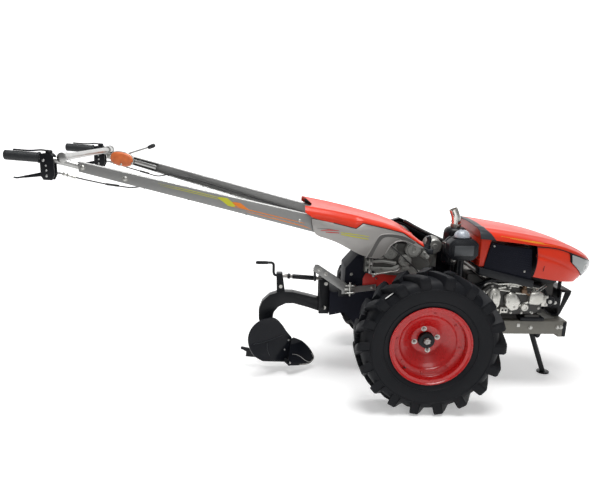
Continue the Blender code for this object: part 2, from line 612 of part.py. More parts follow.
def handles():
    front, rear = -0.240, -1.500
    corners = []
    for x in (rear, front):
        corners.append((beam_bottom(x), beam_top(x), beam_outer(x)))
    (b0, t0, y0), (b1, t1, y1) = corners

    def channel(a, b, inner, outer, grow):
        return hexa(
            [(a, beam_outer(a) - inner, beam_bottom(a) + grow), (b, beam_outer(b) - inner, beam_bottom(b) + grow),
             (b, beam_outer(b) - outer, beam_bottom(b) + grow), (a, beam_outer(a) - outer, beam_bottom(a) + grow)],
            [(a, beam_outer(a) - inner, beam_top(a) - grow), (b, beam_outer(b) - inner, beam_top(b) - grow),
             (b, beam_outer(b) - outer, beam_top(b) - grow), (a, beam_outer(a) - outer, beam_top(a) - grow)],
        )

    beam = combined(channel(rear, front, 0.030, 0.0, 0.0),
                    cut=[channel(rear - 0.1, front + 0.1, 0.060, 0.004, 0.004)])
    pair("handle_beam", beam, "silver_paint")
    a, b = -0.400, -0.180
    wa, wb = beam_outer(a) - 0.030 - GAP, beam_outer(b) - 0.030 - GAP
    yoke = hexa([(a, -wa, 0.725), (b, -wb, 0.700 + GAP), (b, wb, 0.700 + GAP), (a, wa, 0.725)],
                [(a, -wa, 0.790), (b, -wb, 0.745), (b, wb, 0.745), (a, wa, 0.790)])
    piece("handle_yoke", yoke, "frame_grey")

    def mid(x):
        return 0.5 * (beam_top(x) + beam_bottom(x))

    path = [(-1.300, beam_outer(-1.300) - 0.0190, mid(-1.300)),
            (-1.500, beam_outer(-1.500) - 0.0190, mid(-1.500)),
            (-1.560, 0.344, 1.0890), (-1.640, HANDLE_Y, 1.1080), (GRIP_END + 0.005, HANDLE_Y, 1.1200)]
    left = tube(path, 0.0140, 14)
    right = mirrored(left)
    start = Vector((-1.6500, HANDLE_Y, 1.1080 + 0.0120 * 0.010 / 0.155))
    along = (Vector((GRIP_END, HANDLE_Y, 1.1205)) - start).normalized()
    length = (GRIP_END - start.x) / along.x
    grip = lathe(start, along, [(0.002, 0.0145), (0.0, 0.0205), (length - 0.003, 0.0195),
                                (length, 0.014), (length, 0), (length - 0.0045, 0),
                                (length - 0.0045, 0.0145)], 20)
    pair("grip", grip, "black_plastic")
    cross = tube([(-1.560, -0.350, 1.1080), (-1.560, 0.350, 1.1080)], 0.011, 12)
    piece("handlebar", combined(left, [right, cross]), "bright_steel")
    clamp = combined(
        plate([(-1.648, 1.032), (-1.636, 1.017), (-1.600, 1.017), (-1.588, 1.040), (-1.588, 1.118),
               (-1.598, 1.128), (-1.648, 1.128)], 0.343, 0.383),
        cut=[tube([(-1.560, 0.344, 1.0890), (-1.640, HANDLE_Y, 1.1080),
                   (-1.700, HANDLE_Y, 1.1080 + 0.012 * 0.06 / 0.155)], 0.0145, 14)],
    )
    lever = plate([(-1.640, 1.050), (-1.640, 1.034), (-1.700, 1.026), (-1.765, 1.020),
                   (-1.772, 1.027), (-1.766, 1.034), (-1.700, 1.040)], 0.358, 0.368)
    pair("steering_lever", combined(clamp, [lever]), "black_plastic")
    cable = [(-1.588 + GAP, 0.364, 1.045), (-1.572, 0.364, 1.045), (-1.500, 0.350, 1.022),
             (-1.380, 0.322, 0.9920), (-1.290, 0.268, 0.9720), (-1.220, 0.256, 0.9880),
             (-1.120, 0.266, 0.9660), (-0.600, 0.1930, 0.8150), (-0.280, 0.1430, 0.7210),
             (-0.235, 0.1370, 0.7000), (-0.205, 0.1290, 0.6600), (-0.200, 0.1235, 0.6300),
             (-0.200, 0.1235, 0.6000)]
    pair("clutch_cable", tube(cable, 0.003, 8), "black_plastic")
    x0, x1 = -1.533, -1.422
    seat = beam_outer(x1) - 0.0334
    pod = hexa(
        [(x0, 0.262, 1.050), (x1, 0.248, 1.022), (x1, seat, 1.022), (x0, seat, 1.050)],
        [(x0, 0.262, 1.098), (x1, 0.248, 1.078), (x1, seat, 1.078), (x0, seat, 1.098)],
    )
    piece("control_shield", pod, "red_paint")
    lever = combined(tube([(-1.440, 0.280, 1.0824), (-1.440, 0.280, 1.091), (-1.318, 0.280, 1.128)],
                          0.0045, 10),
                     [rod((-1.330, 0.280, 1.1235), (-1.300, 0.280, 1.1350), 0.011, 0.009, count=14)])
    piece("throttle_lever", lever, "black_plastic")


# Cover over the clutch and the front of the beams
def cover_y(x):
    return 0.150 - 0.105 * x


COVER = [  # (X, edge Z, ridge Z)
    (-0.535, 0.838, 0.884), (-0.405, 0.809, 0.860), (-0.300, 0.781, 0.836), (-0.270, 0.805, 0.829),
    (-0.160, 0.779, 0.800), (-0.080, 0.757, 0.771), (-0.030, 0.722, 0.743), (0.022, 0.688, 0.702),
]


def cover():
    rows = []
    for x, edge, ridge in COVER:
        w = cover_y(x)
        half = [(w * 0.40, ridge - 0.006), (w - 0.034, ridge), (w - 0.006, 0.5 * (edge + ridge)),
                (w, edge)]
        right = [(x, -y, z) for y, z in half[::-1]]
        left = [(x, y, z) for y, z in half]
        rows.append(right + [(x, 0, ridge - 0.007)] + left)
    piece("cover_top", skin([row[::-1] for row in rows], -0.003, True), "red_paint")
    edge = [(x, z - GAP) for x, z, _ in COVER if x > -0.53]
    edge.insert(0, (-0.506, 0.8300))
    lower = [(0.022, 0.680), (-0.020, 0.684), (-0.055, 0.708), (-0.100, 0.720), (-0.132, 0.706),
             (-0.156, 0.670), (-0.177, 0.637), (-0.199, 0.632), (-0.262, 0.646), (-0.316, 0.664),
             (-0.352, 0.691), (-0.388, 0.713), (-0.433, 0.731), (-0.484, 0.748), (-0.497, 0.776)]
    outline = edge + lower
    thickness = 0.004
    right = plate(outline, -0.150, -0.150 + thickness, 0.105)
    left = plate([(x, z) for x, z in outline if x < -0.150] , 0.150 - thickness, 0.150, -0.105)
    x = -0.420
    seat = beam_outer(x) + 0.0015 + GAP
    boss = rod((x, cover_y(x) - 0.0022, 0.768), (x, seat, 0.768), 0.010, count=14)
    x = -0.300
    seat = beam_outer(x) + 0.0015 + GAP
    boss_2 = rod((x, cover_y(x) - 0.0022, 0.735), (x, seat, 0.735), 0.010, count=14)
    piece("cover_side_right", combined(right, [mirrored(boss), mirrored(boss_2)]), "grey_panel")
    piece("cover_side_left", combined(left, [boss, boss_2]), "grey_panel")


# Hitch and plough
def hitch():
    side = CASE_HALF + GAP
    arm = plate([(-0.345, 0.442), (-0.180, 0.464), (-0.180, 0.492), (-0.345, 0.474)],
                -side - 0.012, -side)
    strut = plate([(-0.486, 0.560), (-0.478, 0.590), (-0.462, 0.590), (-0.300, 0.482),
                   (-0.300, 0.448), (-0.324, 0.448)], -side - 0.024, -side - 0.010)
    piece("hitch_stay", combined(arm, [strut]), "silver_paint")
    x = PLOUGH_PIVOT.x
    cheeks = [box(-0.450, -0.400 - GAP, s * 0.035 - 0.005, s * 0.035 + 0.005, 0.322, 0.500)
              for s in (1, -1)]
    back = box(-0.408, -0.400 - GAP, -0.040, 0.040, 0.395, 0.446)
    pin = rod((x, -0.046, PLOUGH_PIVOT.z), (x, 0.046, PLOUGH_PIVOT.z), 0.008, count=16)
    eye = combined(box(-0.434, -0.408, -0.036, 0.036, 0.4680, 0.5160),
                   cut=[rod((-0.60, 0, 0.5060), (-0.30, 0, 0.4830), 0.0165, count=20)])
    piece("plough_bracket", combined(back, [*cheeks, pin, eye]), "black_plastic")


def plough():
    outer = [(-0.414, 0.386), (-0.500, 0.409), (-0.580, 0.428), (-0.640, 0.430), (-0.695, 0.413),
             (-0.733, 0.378), (-0.750, 0.335), (-0.750, 0.290), (-0.738, 0.230), (-0.715, 0.165),
             (-0.700, 0.130)]
    inner = [(-0.640, 0.130), (-0.655, 0.190), (-0.672, 0.245), (-0.680, 0.290), (-0.674, 0.322),
             (-0.652, 0.350), (-0.615, 0.369), (-0.575, 0.370), (-0.500, 0.349), (-0.440, 0.328),
             (-0.412, 0.330)]
    half = 0.0240
    bar = plate(outer + inner, -half, half)
    lug = plate([(-0.660, 0.420), (-0.662, 0.524), (-0.632, 0.524), (-0.618, 0.420)], -0.019, 0.019)
    screw_a, screw_b = Vector((-0.664, 0, 0.5098)), Vector((-0.386, 0, 0.4898))
    along = (screw_b - screw_a).normalized()
    bore = rod(screw_a - along * 0.05, screw_a + along * 0.08, SCREW_R + 0.0005, count=20)
    pin = rod((PLOUGH_PIVOT.x, -0.1, PLOUGH_PIVOT.z), (PLOUGH_PIVOT.x, 0.1, PLOUGH_PIVOT.z), 0.0088,
              count=16)
    frog = plate([(-0.720, 0.150), (-0.620, 0.150), (-0.585, 0.095), (-0.570, 0.045), (-0.720, 0.045)],
                 0.0, half)
    board, share = board_rows(), share_rows()
    heart = Vector((-0.650, 0.012, 0.100))
    stays = [rod(heart, behind(board, 2, 1, 0.003), 0.011, count=12),
             rod(heart, behind(board, 4, 1, 0.003), 0.011, count=12),
             rod(heart - Vector((0, 0, 0.020)), behind(share, 1, 1, -0.0035), 0.011, count=12)]
    apart = [skin(lifted(board, -0.03), -0.036 - GAP), skin(lifted(share, 0.03), 0.037 + GAP)]
    piece("plough_beam", combined(bar, [lug, frog, *stays], [bore, pin, *apart]), "black_plastic",
          PLOUGH_PIVOT)
    screw = combined(
        rod(screw_a + along * 0.012, screw_b, SCREW_R, count=20),
        [tube([screw_a + along * 0.020, screw_a - along * 0.008, (-0.676, 0, 0.525),
               (-0.676, 0, 0.566), (-0.684, 0, 0.574), (-0.765, 0, 0.574)], 0.0065, 12)],
    )
    piece("depth_screw", screw, "dark_paint", PLOUGH_PIVOT)
    piece("mouldboard", skin(board, -0.006), "black_plastic", PLOUGH_PIVOT)
    piece("share", skin(share, 0.007), "dark_paint", PLOUGH_PIVOT)
    land = combined(
        plate([(-0.520, 0.030), (-0.820, 0.060), (-0.816, 0.096), (-0.540, 0.086)],
              half + GAP, half + 0.0103),
        [tube([(-0.800, half + 0.005, 0.080), (-0.845, half + 0.005, 0.108)], 0.005, 10)],
    )
    piece("landside", land, "black_plastic", PLOUGH_PIVOT)


def behind(rows, i, j, depth):
    """A point inside the sheet's thickness, at one of its own points."""
    return lifted(rows, depth)[i][j]


def board_rows():
    """The mouldboard's face, column by column from its front edge up and back to the wing."""
    columns = []
    for k in range(7):
        f = k / 6
        low = Vector((-0.590 - 0.140 * f, -0.010 - 0.105 * f, 0.108 - 0.026 * f))
        high = Vector((-0.572 - 0.232 * f, -0.004 - 0.170 * f ** 1.3, 0.180 + 0.222 * f))
        if f > 0.5:
            high.z = 0.291 - (f - 0.5) * 0.310
        column = []
        for t in (0.0, 0.35, 0.7, 1.0):
            p = low + (high - low) * t
            p.y += 0.016 * math.sin(math.pi * t) * (0.3 + f)
            column.append(p)
        columns.append(column)
    return columns


def share_rows():
    columns = []
    for f in (0.0, 0.5, 1.0):
        top = Vector((-0.580 - 0.140 * f, -0.012 - 0.105 * f, 0.1055 - 0.026 * f))
        tip = Vector((-0.463 - 0.125 * f, 0.012 - 0.150 * f, 0.026))
        columns.append([top, top + (tip - top) * 0.5, tip])
    return columns


wheels()
transmission()
frame()
engine()
top_of_engine()
bonnet()
handles()
cover()
hitch()
plough()
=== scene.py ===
# %% [markdown]
# Walking tractor with a plough: the looks.
#
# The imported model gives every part's place and size. This lesson loads it, then gives each
# part its real surface: bar-tread tyres, a pressed and painted bonnet, cast housings, bolts,
# cables and stripes. Shapes are drawn from the wheels' axle, with X forward, Y to the left
# and Z up from the ground, and are moved to the machine's place when they are finished.

import math

import bmesh
import bpy
from mathutils import Matrix, Vector


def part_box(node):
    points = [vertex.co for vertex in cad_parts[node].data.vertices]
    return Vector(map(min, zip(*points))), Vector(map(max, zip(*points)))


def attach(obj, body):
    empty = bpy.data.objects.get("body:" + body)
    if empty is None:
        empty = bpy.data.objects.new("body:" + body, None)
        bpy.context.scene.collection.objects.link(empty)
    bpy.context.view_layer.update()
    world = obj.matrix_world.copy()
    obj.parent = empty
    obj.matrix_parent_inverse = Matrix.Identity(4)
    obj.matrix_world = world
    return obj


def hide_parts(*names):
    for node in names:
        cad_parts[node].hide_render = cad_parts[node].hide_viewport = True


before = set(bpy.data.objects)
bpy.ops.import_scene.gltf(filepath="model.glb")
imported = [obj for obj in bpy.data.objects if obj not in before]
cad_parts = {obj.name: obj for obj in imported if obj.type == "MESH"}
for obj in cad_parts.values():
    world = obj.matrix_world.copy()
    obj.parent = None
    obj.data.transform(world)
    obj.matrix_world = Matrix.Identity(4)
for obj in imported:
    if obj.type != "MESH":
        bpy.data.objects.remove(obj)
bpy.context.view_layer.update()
hub_low, hub_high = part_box("hub_left")
AXLE = Vector(((hub_low.x + hub_high.x) / 2, 0.0, 0.0))
WHEEL_Z = (hub_low.z + hub_high.z) / 2
tyre_low, tyre_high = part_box("tyre_left")
WHEEL_Y = (tyre_low.y + tyre_high.y) / 2
print("axle at", [round(v, 4) for v in AXLE], "wheel plane", round(WHEEL_Y, 4))

# %% [markdown]
# Finishes. Paint, rubber, castings and plastic differ in colour, gloss and grain. One
# function builds them all: a slow noise shifts the colour a little, as dust and uneven
# paint do, a second noise varies the gloss, and a fine one gives the grain as a bump. The
# patterns read Object coordinates, so they stay fixed to each part.

# %% Finish builder
FINISHES = {}


def finish(name, colour, other, rough, metal=0.0, grain=0.0, grain_scale=300.0, patch=6.0,
           rough_spread=0.12, coat=0.0, specular=0.5, mottled=0.5):
    """A material between two colours in soft patches, with a gloss that varies and a fine grain."""
    mat = bpy.data.materials.new(name)
    mat.use_nodes = True
    tree = mat.node_tree
    nodes, links = tree.nodes, tree.links
    shader = nodes["Principled BSDF"]
    place = nodes.new("ShaderNodeTexCoord")
    slow = nodes.new("ShaderNodeTexNoise")
    slow.inputs["Scale"].default_value = patch
    slow.inputs["Detail"].default_value = 5.0
    slow.inputs["Roughness"].default_value = 0.6
    links.new(place.outputs["Object"], slow.inputs["Vector"])
    spread = nodes.new("ShaderNodeMapRange")
    spread.inputs["From Min"].default_value = 0.5 - 0.22
    spread.inputs["From Max"].default_value = 0.5 + 0.22
    spread.inputs["To Max"].default_value = mottled
    links.new(slow.outputs["Fac"], spread.inputs["Value"])
    mix = nodes.new("ShaderNodeMix")
    mix.data_type = "RGBA"
    mix.inputs["A"].default_value = (*colour, 1.0)
    mix.inputs["B"].default_value = (*other, 1.0)
    links.new(spread.outputs["Result"], mix.inputs["Factor"])
    links.new(mix.outputs["Result"], shader.inputs["Base Color"])
    gloss = nodes.new("ShaderNodeTexNoise")
    gloss.inputs["Scale"].default_value = patch * 4.0
    gloss.inputs["Detail"].default_value = 4.0
    links.new(place.outputs["Object"], gloss.inputs["Vector"])
    level = nodes.new("ShaderNodeMapRange")
    level.inputs["To Min"].default_value = max(0.02, rough - rough_spread / 2)
    level.inputs["To Max"].default_value = min(1.0, rough + rough_spread / 2)
    links.new(gloss.outputs["Fac"], level.inputs["Value"])
    links.new(level.outputs["Result"], shader.inputs["Roughness"])
    shader.inputs["Metallic"].default_value = metal
    shader.inputs["Coat Weight"].default_value = coat
    shader.inputs["Coat Roughness"].default_value = 0.08
    shader.inputs["Specular IOR Level"].default_value = specular
    if grain:
        fine = nodes.new("ShaderNodeTexNoise")
        fine.inputs["Scale"].default_value = grain_scale
        fine.inputs["Detail"].default_value = 3.0
        links.new(place.outputs["Object"], fine.inputs["Vector"])
        bump = nodes.new("ShaderNodeBump")
        bump.inputs["Strength"].default_value = 1.0
        bump.inputs["Distance"].default_value = grain
        links.new(fine.outputs["Fac"], bump.inputs["Height"])
        links.new(bump.outputs["Normal"], shader.inputs["Normal"])
    FINISHES[name] = mat
    return mat


# %% Paints, metals, rubber and plastic
red = finish("bonnet_red", (0.62, 0.03, 0.008), (0.5, 0.024, 0.007), 0.36, coat=0.06, specular=0.3,
             grain=0.00004, grain_scale=180.0, rough_spread=0.1, mottled=0.5)
rim_red = finish("rim_red", (0.46, 0.008, 0.008), (0.34, 0.007, 0.008), 0.28, coat=0.2,
                 specular=0.45,
                 grain=0.00004, grain_scale=160.0, patch=9.0)
grey = finish("panel_grey", (0.36, 0.345, 0.33), (0.29, 0.28, 0.27), 0.34, metal=0.35,
              grain=0.00002, grain_scale=700.0, coat=0.3)
beam_silver = finish("beam_silver", (0.27, 0.27, 0.265), (0.2, 0.2, 0.195), 0.36, metal=0.45,
                     grain=0.00002, grain_scale=700.0, patch=4.0)
rail_grey = finish("rail_grey", (0.155, 0.15, 0.13), (0.1, 0.095, 0.085), 0.45, metal=0.4,
                   grain=0.00004, grain_scale=350.0)
black = finish("black_paint", (0.005, 0.006, 0.008), (0.009, 0.009, 0.011), 0.36, specular=0.22,
               grain=0.00005, grain_scale=260.0, patch=12.0)
navy = finish("navy_black_paint", (0.003, 0.004, 0.01), (0.006, 0.007, 0.014), 0.6, specular=0.15,
              grain=0.00008, grain_scale=180.0, patch=10.0)
plastic = finish("black_plastic", (0.007, 0.008, 0.011), (0.009, 0.01, 0.012), 0.38, specular=0.28,
                 grain=0.00006, grain_scale=900.0, patch=14.0)
slate = finish("dark_trim", (0.022, 0.025, 0.03), (0.026, 0.028, 0.032), 0.42, specular=0.3,
               grain=0.00005, grain_scale=700.0)
cast = finish("cast_aluminium", (0.6, 0.595, 0.56), (0.36, 0.35, 0.31), 0.3, metal=0.8,
              grain=0.00025, grain_scale=260.0, patch=14.0, rough_spread=0.25)
case = finish("case_silver", (0.36, 0.36, 0.34), (0.24, 0.235, 0.22), 0.4, metal=0.5,
              grain=0.0002, grain_scale=240.0, patch=12.0, rough_spread=0.2)
block_grey = finish("engine_casting", (0.03, 0.03, 0.03), (0.065, 0.06, 0.052), 0.48, metal=0.3,
                    grain=0.0003, grain_scale=200.0, patch=14.0)
# A darker copy of the case silver: painted shade for the casting's upper part.
case_silver_shaded = finish("case_shaded", (0.105, 0.105, 0.098), (0.065, 0.063, 0.058), 0.45, metal=0.4,
                   grain=0.0002, grain_scale=240.0, patch=12.0, rough_spread=0.2)
steel = finish("bright_steel", (0.46, 0.46, 0.45), (0.34, 0.34, 0.33), 0.3, metal=1.0,
               patch=25.0)
zinc = finish("zinc_bolt", (0.46, 0.46, 0.44), (0.38, 0.37, 0.34), 0.32, metal=1.0, patch=60.0)
chrome = finish("polished_pipe", (0.8, 0.79, 0.76), (0.62, 0.58, 0.5), 0.2, metal=1.0,
                patch=18.0, rough_spread=0.06)
worn = finish("worn_steel", (0.42, 0.42, 0.41), (0.17, 0.15, 0.13), 0.34, metal=0.9,
              grain=0.0001, grain_scale=220.0, patch=20.0, rough_spread=0.25, mottled=0.9)
rubber = finish("tyre_rubber", (0.004, 0.005, 0.007), (0.009, 0.009, 0.011), 0.52, specular=0.16,
                grain=0.00018, grain_scale=160.0, patch=7.0, rough_spread=0.2, mottled=0.7)
grip_black = finish("grip_rubber", (0.008, 0.01, 0.012), (0.015, 0.017, 0.019), 0.55,
                    grain=0.0001, grain_scale=500.0, patch=20.0)
cable_black = finish("cable_sheath", (0.012, 0.012, 0.014), (0.022, 0.022, 0.022), 0.4,
                     grain=0.00003, grain_scale=900.0, patch=30.0)
orange = finish("shield_orange", (0.62, 0.15, 0.035), (0.4, 0.085, 0.025), 0.42,
                grain=0.00008, grain_scale=300.0, patch=35.0, mottled=0.9)
brown = finish("heat_brown", (0.16, 0.095, 0.055), (0.07, 0.05, 0.035), 0.5, metal=0.6,
               grain=0.0001, grain_scale=200.0, patch=30.0)
white_label = finish("blank_label", (0.8, 0.8, 0.78), (0.72, 0.72, 0.7), 0.5)
plate_grey = finish("blank_plate", (0.075, 0.08, 0.085), (0.05, 0.053, 0.058), 0.32, metal=0.4)
lime = finish("stripe_lime", (0.5, 0.5, 0.02), (0.44, 0.42, 0.02), 0.4)
amber = finish("stripe_amber", (0.72, 0.2, 0.012), (0.62, 0.15, 0.01), 0.4)
crimson = finish("stripe_crimson", (0.5, 0.02, 0.015), (0.42, 0.02, 0.012), 0.4)
print(len(FINISHES), "finishes")

# %% [markdown]
# Clear plastic. The air cleaner's dome and the lamp lenses let the parts behind them show,
# so they transmit light. Their colour, gloss and index are the same all over, so they are set
# on the shader's own sockets.

# %% Clear finishes
def clear(name, colour, rough, through):
    """A material that lets light through, with a gloss that varies a little."""
    mat = bpy.data.materials.new(name)
    mat.use_nodes = True
    shader = mat.node_tree.nodes["Principled BSDF"]
    place = mat.node_tree.nodes.new("ShaderNodeTexCoord")
    noise = mat.node_tree.nodes.new("ShaderNodeTexNoise")
    noise.inputs["Scale"].default_value = 30.0
    level = mat.node_tree.nodes.new("ShaderNodeMapRange")
    level.inputs["To Min"].default_value = rough * 0.7
    level.inputs["To Max"].default_value = rough * 1.4
    mat.node_tree.links.new(place.outputs["Object"], noise.inputs["Vector"])
    mat.node_tree.links.new(noise.outputs["Fac"], level.inputs["Value"])
    mat.node_tree.links.new(level.outputs["Result"], shader.inputs["Roughness"])
    shader.inputs["Base Color"].default_value = (*colour, 1.0)
    shader.inputs["Transmission Weight"].default_value = through
    shader.inputs["IOR"].default_value = 1.45
    FINISHES[name] = mat
    return mat


dome_clear = clear("clear_dome", (0.62, 0.66, 0.72), 0.08, 0.6)
lens_clear = clear("lamp_lens", (0.5, 0.52, 0.52), 0.1, 0.35)

# %% [markdown]
# Shape helpers. Each starts a bmesh from one of Blender's primitive operators and shapes it
# with others: a turned part is a profile spun round an axis, a plate is an outline pushed
# through its thickness, and a bar is a disc pushed along a path.

# %% Turned parts, blocks and plates
def aim(bm, origin, axis):
    """Turns a shape drawn along Z to an axis and moves it to its origin."""
    turn = Vector((0, 0, 1)).rotation_difference(Vector(axis).normalized())
    bmesh.ops.rotate(bm, cent=(0, 0, 0), matrix=turn.to_matrix(), verts=bm.verts)
    bmesh.ops.translate(bm, vec=Vector(origin), verts=bm.verts)
    return bm


def turned(profile, origin, axis, steps=48, closed=False):
    """A profile of (distance along the axis, radius) spun round it, closed where it meets it."""
    bm = bmesh.new()
    points = [bm.verts.new((radius, 0, along)) for along, radius in profile]
    edges = [bm.edges.new(two) for two in zip(points, points[1:])]
    if closed:
        edges.append(bm.edges.new((points[-1], points[0])))
    bmesh.ops.spin(bm, geom=points + edges, cent=(0, 0, 0), axis=(0, 0, 1),
                   angle=2 * math.pi, steps=steps, use_merge=True)
    bmesh.ops.remove_doubles(bm, verts=bm.verts, dist=1e-6)
    bmesh.ops.recalc_face_normals(bm, faces=bm.faces)
    return aim(bm, origin, axis)


def bevelled(bm, width, segments=2, angle=30):
    """Rounds the edges that turn by more than the angle."""
    if width:
        sharp = [e for e in bm.edges
                 if len(e.link_faces) == 2 and e.calc_face_angle(0.0) > math.radians(angle)]
        bmesh.ops.bevel(bm, geom=sharp, offset=width, offset_type="OFFSET", segments=segments,
                        profile=0.5, affect="EDGES", material=-1, clamp_overlap=True)
    return bm


def block(x0, x1, y0, y1, z0, z1, round_by=0.0):
    """A box between two places on each axis."""
    bm = bmesh.new()
    bmesh.ops.create_cube(bm, size=1.0)
    bmesh.ops.scale(bm, vec=(x1 - x0, y1 - y0, z1 - z0), verts=bm.verts)
    bmesh.ops.translate(bm, vec=((x0 + x1) / 2, (y0 + y1) / 2, (z0 + z1) / 2), verts=bm.verts)
    return bevelled(bm, round_by)


def plate(outline, y0, y1, round_by=0.0, shear=0.0):
    """An outline in X and Z pushed from y0 to y1. Shear moves Y with X."""
    bm = bmesh.new()
    face = bm.faces.new([bm.verts.new((x, y0 + shear * x, z)) for x, z in outline])
    pushed = bmesh.ops.extrude_face_region(bm, geom=[face])
    moved = [g for g in pushed["geom"] if isinstance(g, bmesh.types.BMVert)]
    bmesh.ops.translate(bm, vec=(0, y1 - y0, 0), verts=moved)
    bmesh.ops.recalc_face_normals(bm, faces=bm.faces)
    return bevelled(bm, round_by)


# %% Bars that follow a path
def eased(path, radius, steps=5):
    """The path with each corner replaced by a short curve."""
    points = [Vector(p) for p in path]
    out = [points[0]]
    for a, b, c in zip(points, points[1:], points[2:]):
        reach = min(radius, (a - b).length * 0.45, (c - b).length * 0.45)
        start, end = b + (a - b).normalized() * reach, b + (c - b).normalized() * reach
        for i in range(steps + 1):
            t = i / steps
            out.append(start * (1 - t) ** 2 + b * 2 * t * (1 - t) + end * t ** 2)
    return out + [points[-1]]


def bar(path, radius, sides=12, radii=None, flat=1.0):
    """A disc pushed along a path, turned at each point. radii may change the thickness."""
    points = [Vector(p) for p in path]
    radii = radii or [radius] * len(points)
    ways = []
    for i in range(len(points)):
        before = (points[i] - points[i - 1]).normalized() if i else Vector()
        after = (points[i + 1] - points[i]).normalized() if i < len(points) - 1 else Vector()
        ways.append((before + after).normalized())
    bm = bmesh.new()
    ring = bmesh.ops.create_circle(bm, cap_ends=True, segments=sides, radius=radii[0])["verts"]
    bmesh.ops.scale(bm, vec=(1, flat, 1), verts=ring)
    turn = Vector((0, 0, 1)).rotation_difference(ways[0]).to_matrix()
    bmesh.ops.rotate(bm, cent=(0, 0, 0), matrix=turn, verts=ring)
    bmesh.ops.translate(bm, vec=points[0], verts=ring)
    cap = bm.faces[:][0]
    for i in range(1, len(points)):
        pushed = bmesh.ops.extrude_face_region(bm, geom=[cap])["geom"]
        ring = [g for g in pushed if isinstance(g, bmesh.types.BMVert)]
        cap = [g for g in pushed if isinstance(g, bmesh.types.BMFace)][0]
        bmesh.ops.translate(bm, vec=points[i] - points[i - 1], verts=ring)
        turn = ways[i - 1].rotation_difference(ways[i]).to_matrix()
        bmesh.ops.rotate(bm, cent=points[i], matrix=turn, verts=ring)
        grow = radii[i] / radii[i - 1]
        if abs(grow - 1) > 1e-6:
            bmesh.ops.scale(bm, vec=(grow,) * 3, verts=ring, space=Matrix.Translation(-points[i]))
    bmesh.ops.recalc_face_normals(bm, faces=bm.faces)
    return bm


def hexagon(at, way, across, height, turn=0.0, washer=0.0):
    """A hexagon bolt head standing on a surface, with its washer and a chamfered top."""
    bm = bmesh.new()
    made = bmesh.ops.create_cone(bm, cap_ends=True, segments=6, radius1=across * 0.577,
                                 radius2=across * 0.577, depth=height)
    bmesh.ops.rotate(bm, cent=(0, 0, 0), matrix=Matrix.Rotation(turn, 3, "Z"), verts=made["verts"])
    bmesh.ops.translate(bm, vec=(0, 0, height / 2), verts=made["verts"])
    bevelled(bm, height * 0.16, 1)
    if washer:
        disc = bmesh.ops.create_cone(bm, cap_ends=True, segments=18, radius1=washer,
                                     radius2=washer, depth=height * 0.3)
        bmesh.ops.translate(bm, vec=(0, 0, height * 0.12), verts=disc["verts"])
    return aim(bm, at, way)


def dome_bolt(at, way, radius, height):
    """A round-headed bolt."""
    profile = [(-0.001, 0), (-0.001, radius), (height * 0.3, radius)]
    profile += [(height * (0.3 + 0.7 * math.sin(a)), radius * math.cos(a))
                for a in (0.5, 1.0)] + [(height, 0)]
    return turned(profile, at, way, 14)


# %% [markdown]
# Finished pieces. Several shapes of one finish make one piece. It is moved from the axle's
# frame to the machine's place, shaded smooth except at sharp edges, given its finish, and
# told which body it rides on and which imported nodes it stands for.

# %% Joining and placing
def joined(*shapes):
    """Several shapes as one. The shapes are used up."""
    out = bmesh.new()
    for bm in shapes:
        mesh = bpy.data.meshes.new("step")
        bm.to_mesh(mesh)
        bm.free()
        out.from_mesh(mesh)
        bpy.data.meshes.remove(mesh)
    return out


def mirror_y(bm):
    """The same shape on the other side of the middle plane."""
    other = bm.copy()
    bmesh.ops.scale(other, vec=(1, -1, 1), verts=other.verts)
    bmesh.ops.reverse_faces(other, faces=other.faces)
    return other


def both(bm):
    """A shape with its mirror image."""
    return joined(bm, mirror_y(bm))


def put(name, bm, mats, body, stands_for=(), smooth=35):
    """A finished piece. mats is one material, or several that the faces already point to."""
    bmesh.ops.translate(bm, vec=AXLE, verts=bm.verts)
    mesh = bpy.data.meshes.new(name)
    for face in bm.faces:
        face.smooth = True
    bm.to_mesh(mesh)
    bm.free()
    for mat in (mats if isinstance(mats, (list, tuple)) else [mats]):
        mesh.materials.append(mat)
    mesh.set_sharp_from_angle(angle=math.radians(smooth))
    piece = bpy.data.objects.new(name, mesh)
    bpy.context.scene.collection.objects.link(piece)
    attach(piece, body)
    if stands_for:
        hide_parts(*stands_for)
    return piece


def softened(node, width=0.002, segments=2, angle=25):
    """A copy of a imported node's shape with its loose triangles merged and its edges rounded."""
    bm = bmesh.new()
    bm.from_mesh(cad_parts[node].data)
    bmesh.ops.remove_doubles(bm, verts=bm.verts, dist=1e-6)
    bmesh.ops.dissolve_limit(bm, angle_limit=math.radians(1.0), verts=bm.verts, edges=bm.edges)
    bevelled(bm, width, segments, angle)
    bmesh.ops.translate(bm, vec=-AXLE, verts=bm.verts)
    return bm


def dressed(node, mat):
    """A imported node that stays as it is, with a new finish."""
    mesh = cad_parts[node].data
    mesh.materials.clear()
    mesh.materials.append(mat)


# %% [markdown]
# Tyres. A walking tractor's tyre is a round carcass with tall diagonal bars. The carcass is a
# profile spun round the axle, with two thin rings on each wall. Each bar starts as a cube,
# is cut into slices along its length, and every slice is carried onto the carcass: it leaves
# the middle, runs diagonally outwards, and folds down over the shoulder. Bars on the two
# halves are staggered by half a step. Only one bar is shaped, and it is then copied round.

# %% Tyre carcass
CARCASS_R = 0.2985
BAR_TOP = 0.3195
SHOULDER = [  # (distance from the tyre's middle, radius) over the crown and down the wall
    (0.0, CARCASS_R), (0.03, 0.2975), (0.052, 0.2925), (0.066, 0.283), (0.0745, 0.269),
    (0.0775, 0.25), (0.0765, 0.23), (0.072, 0.208), (0.0655, 0.19),
]


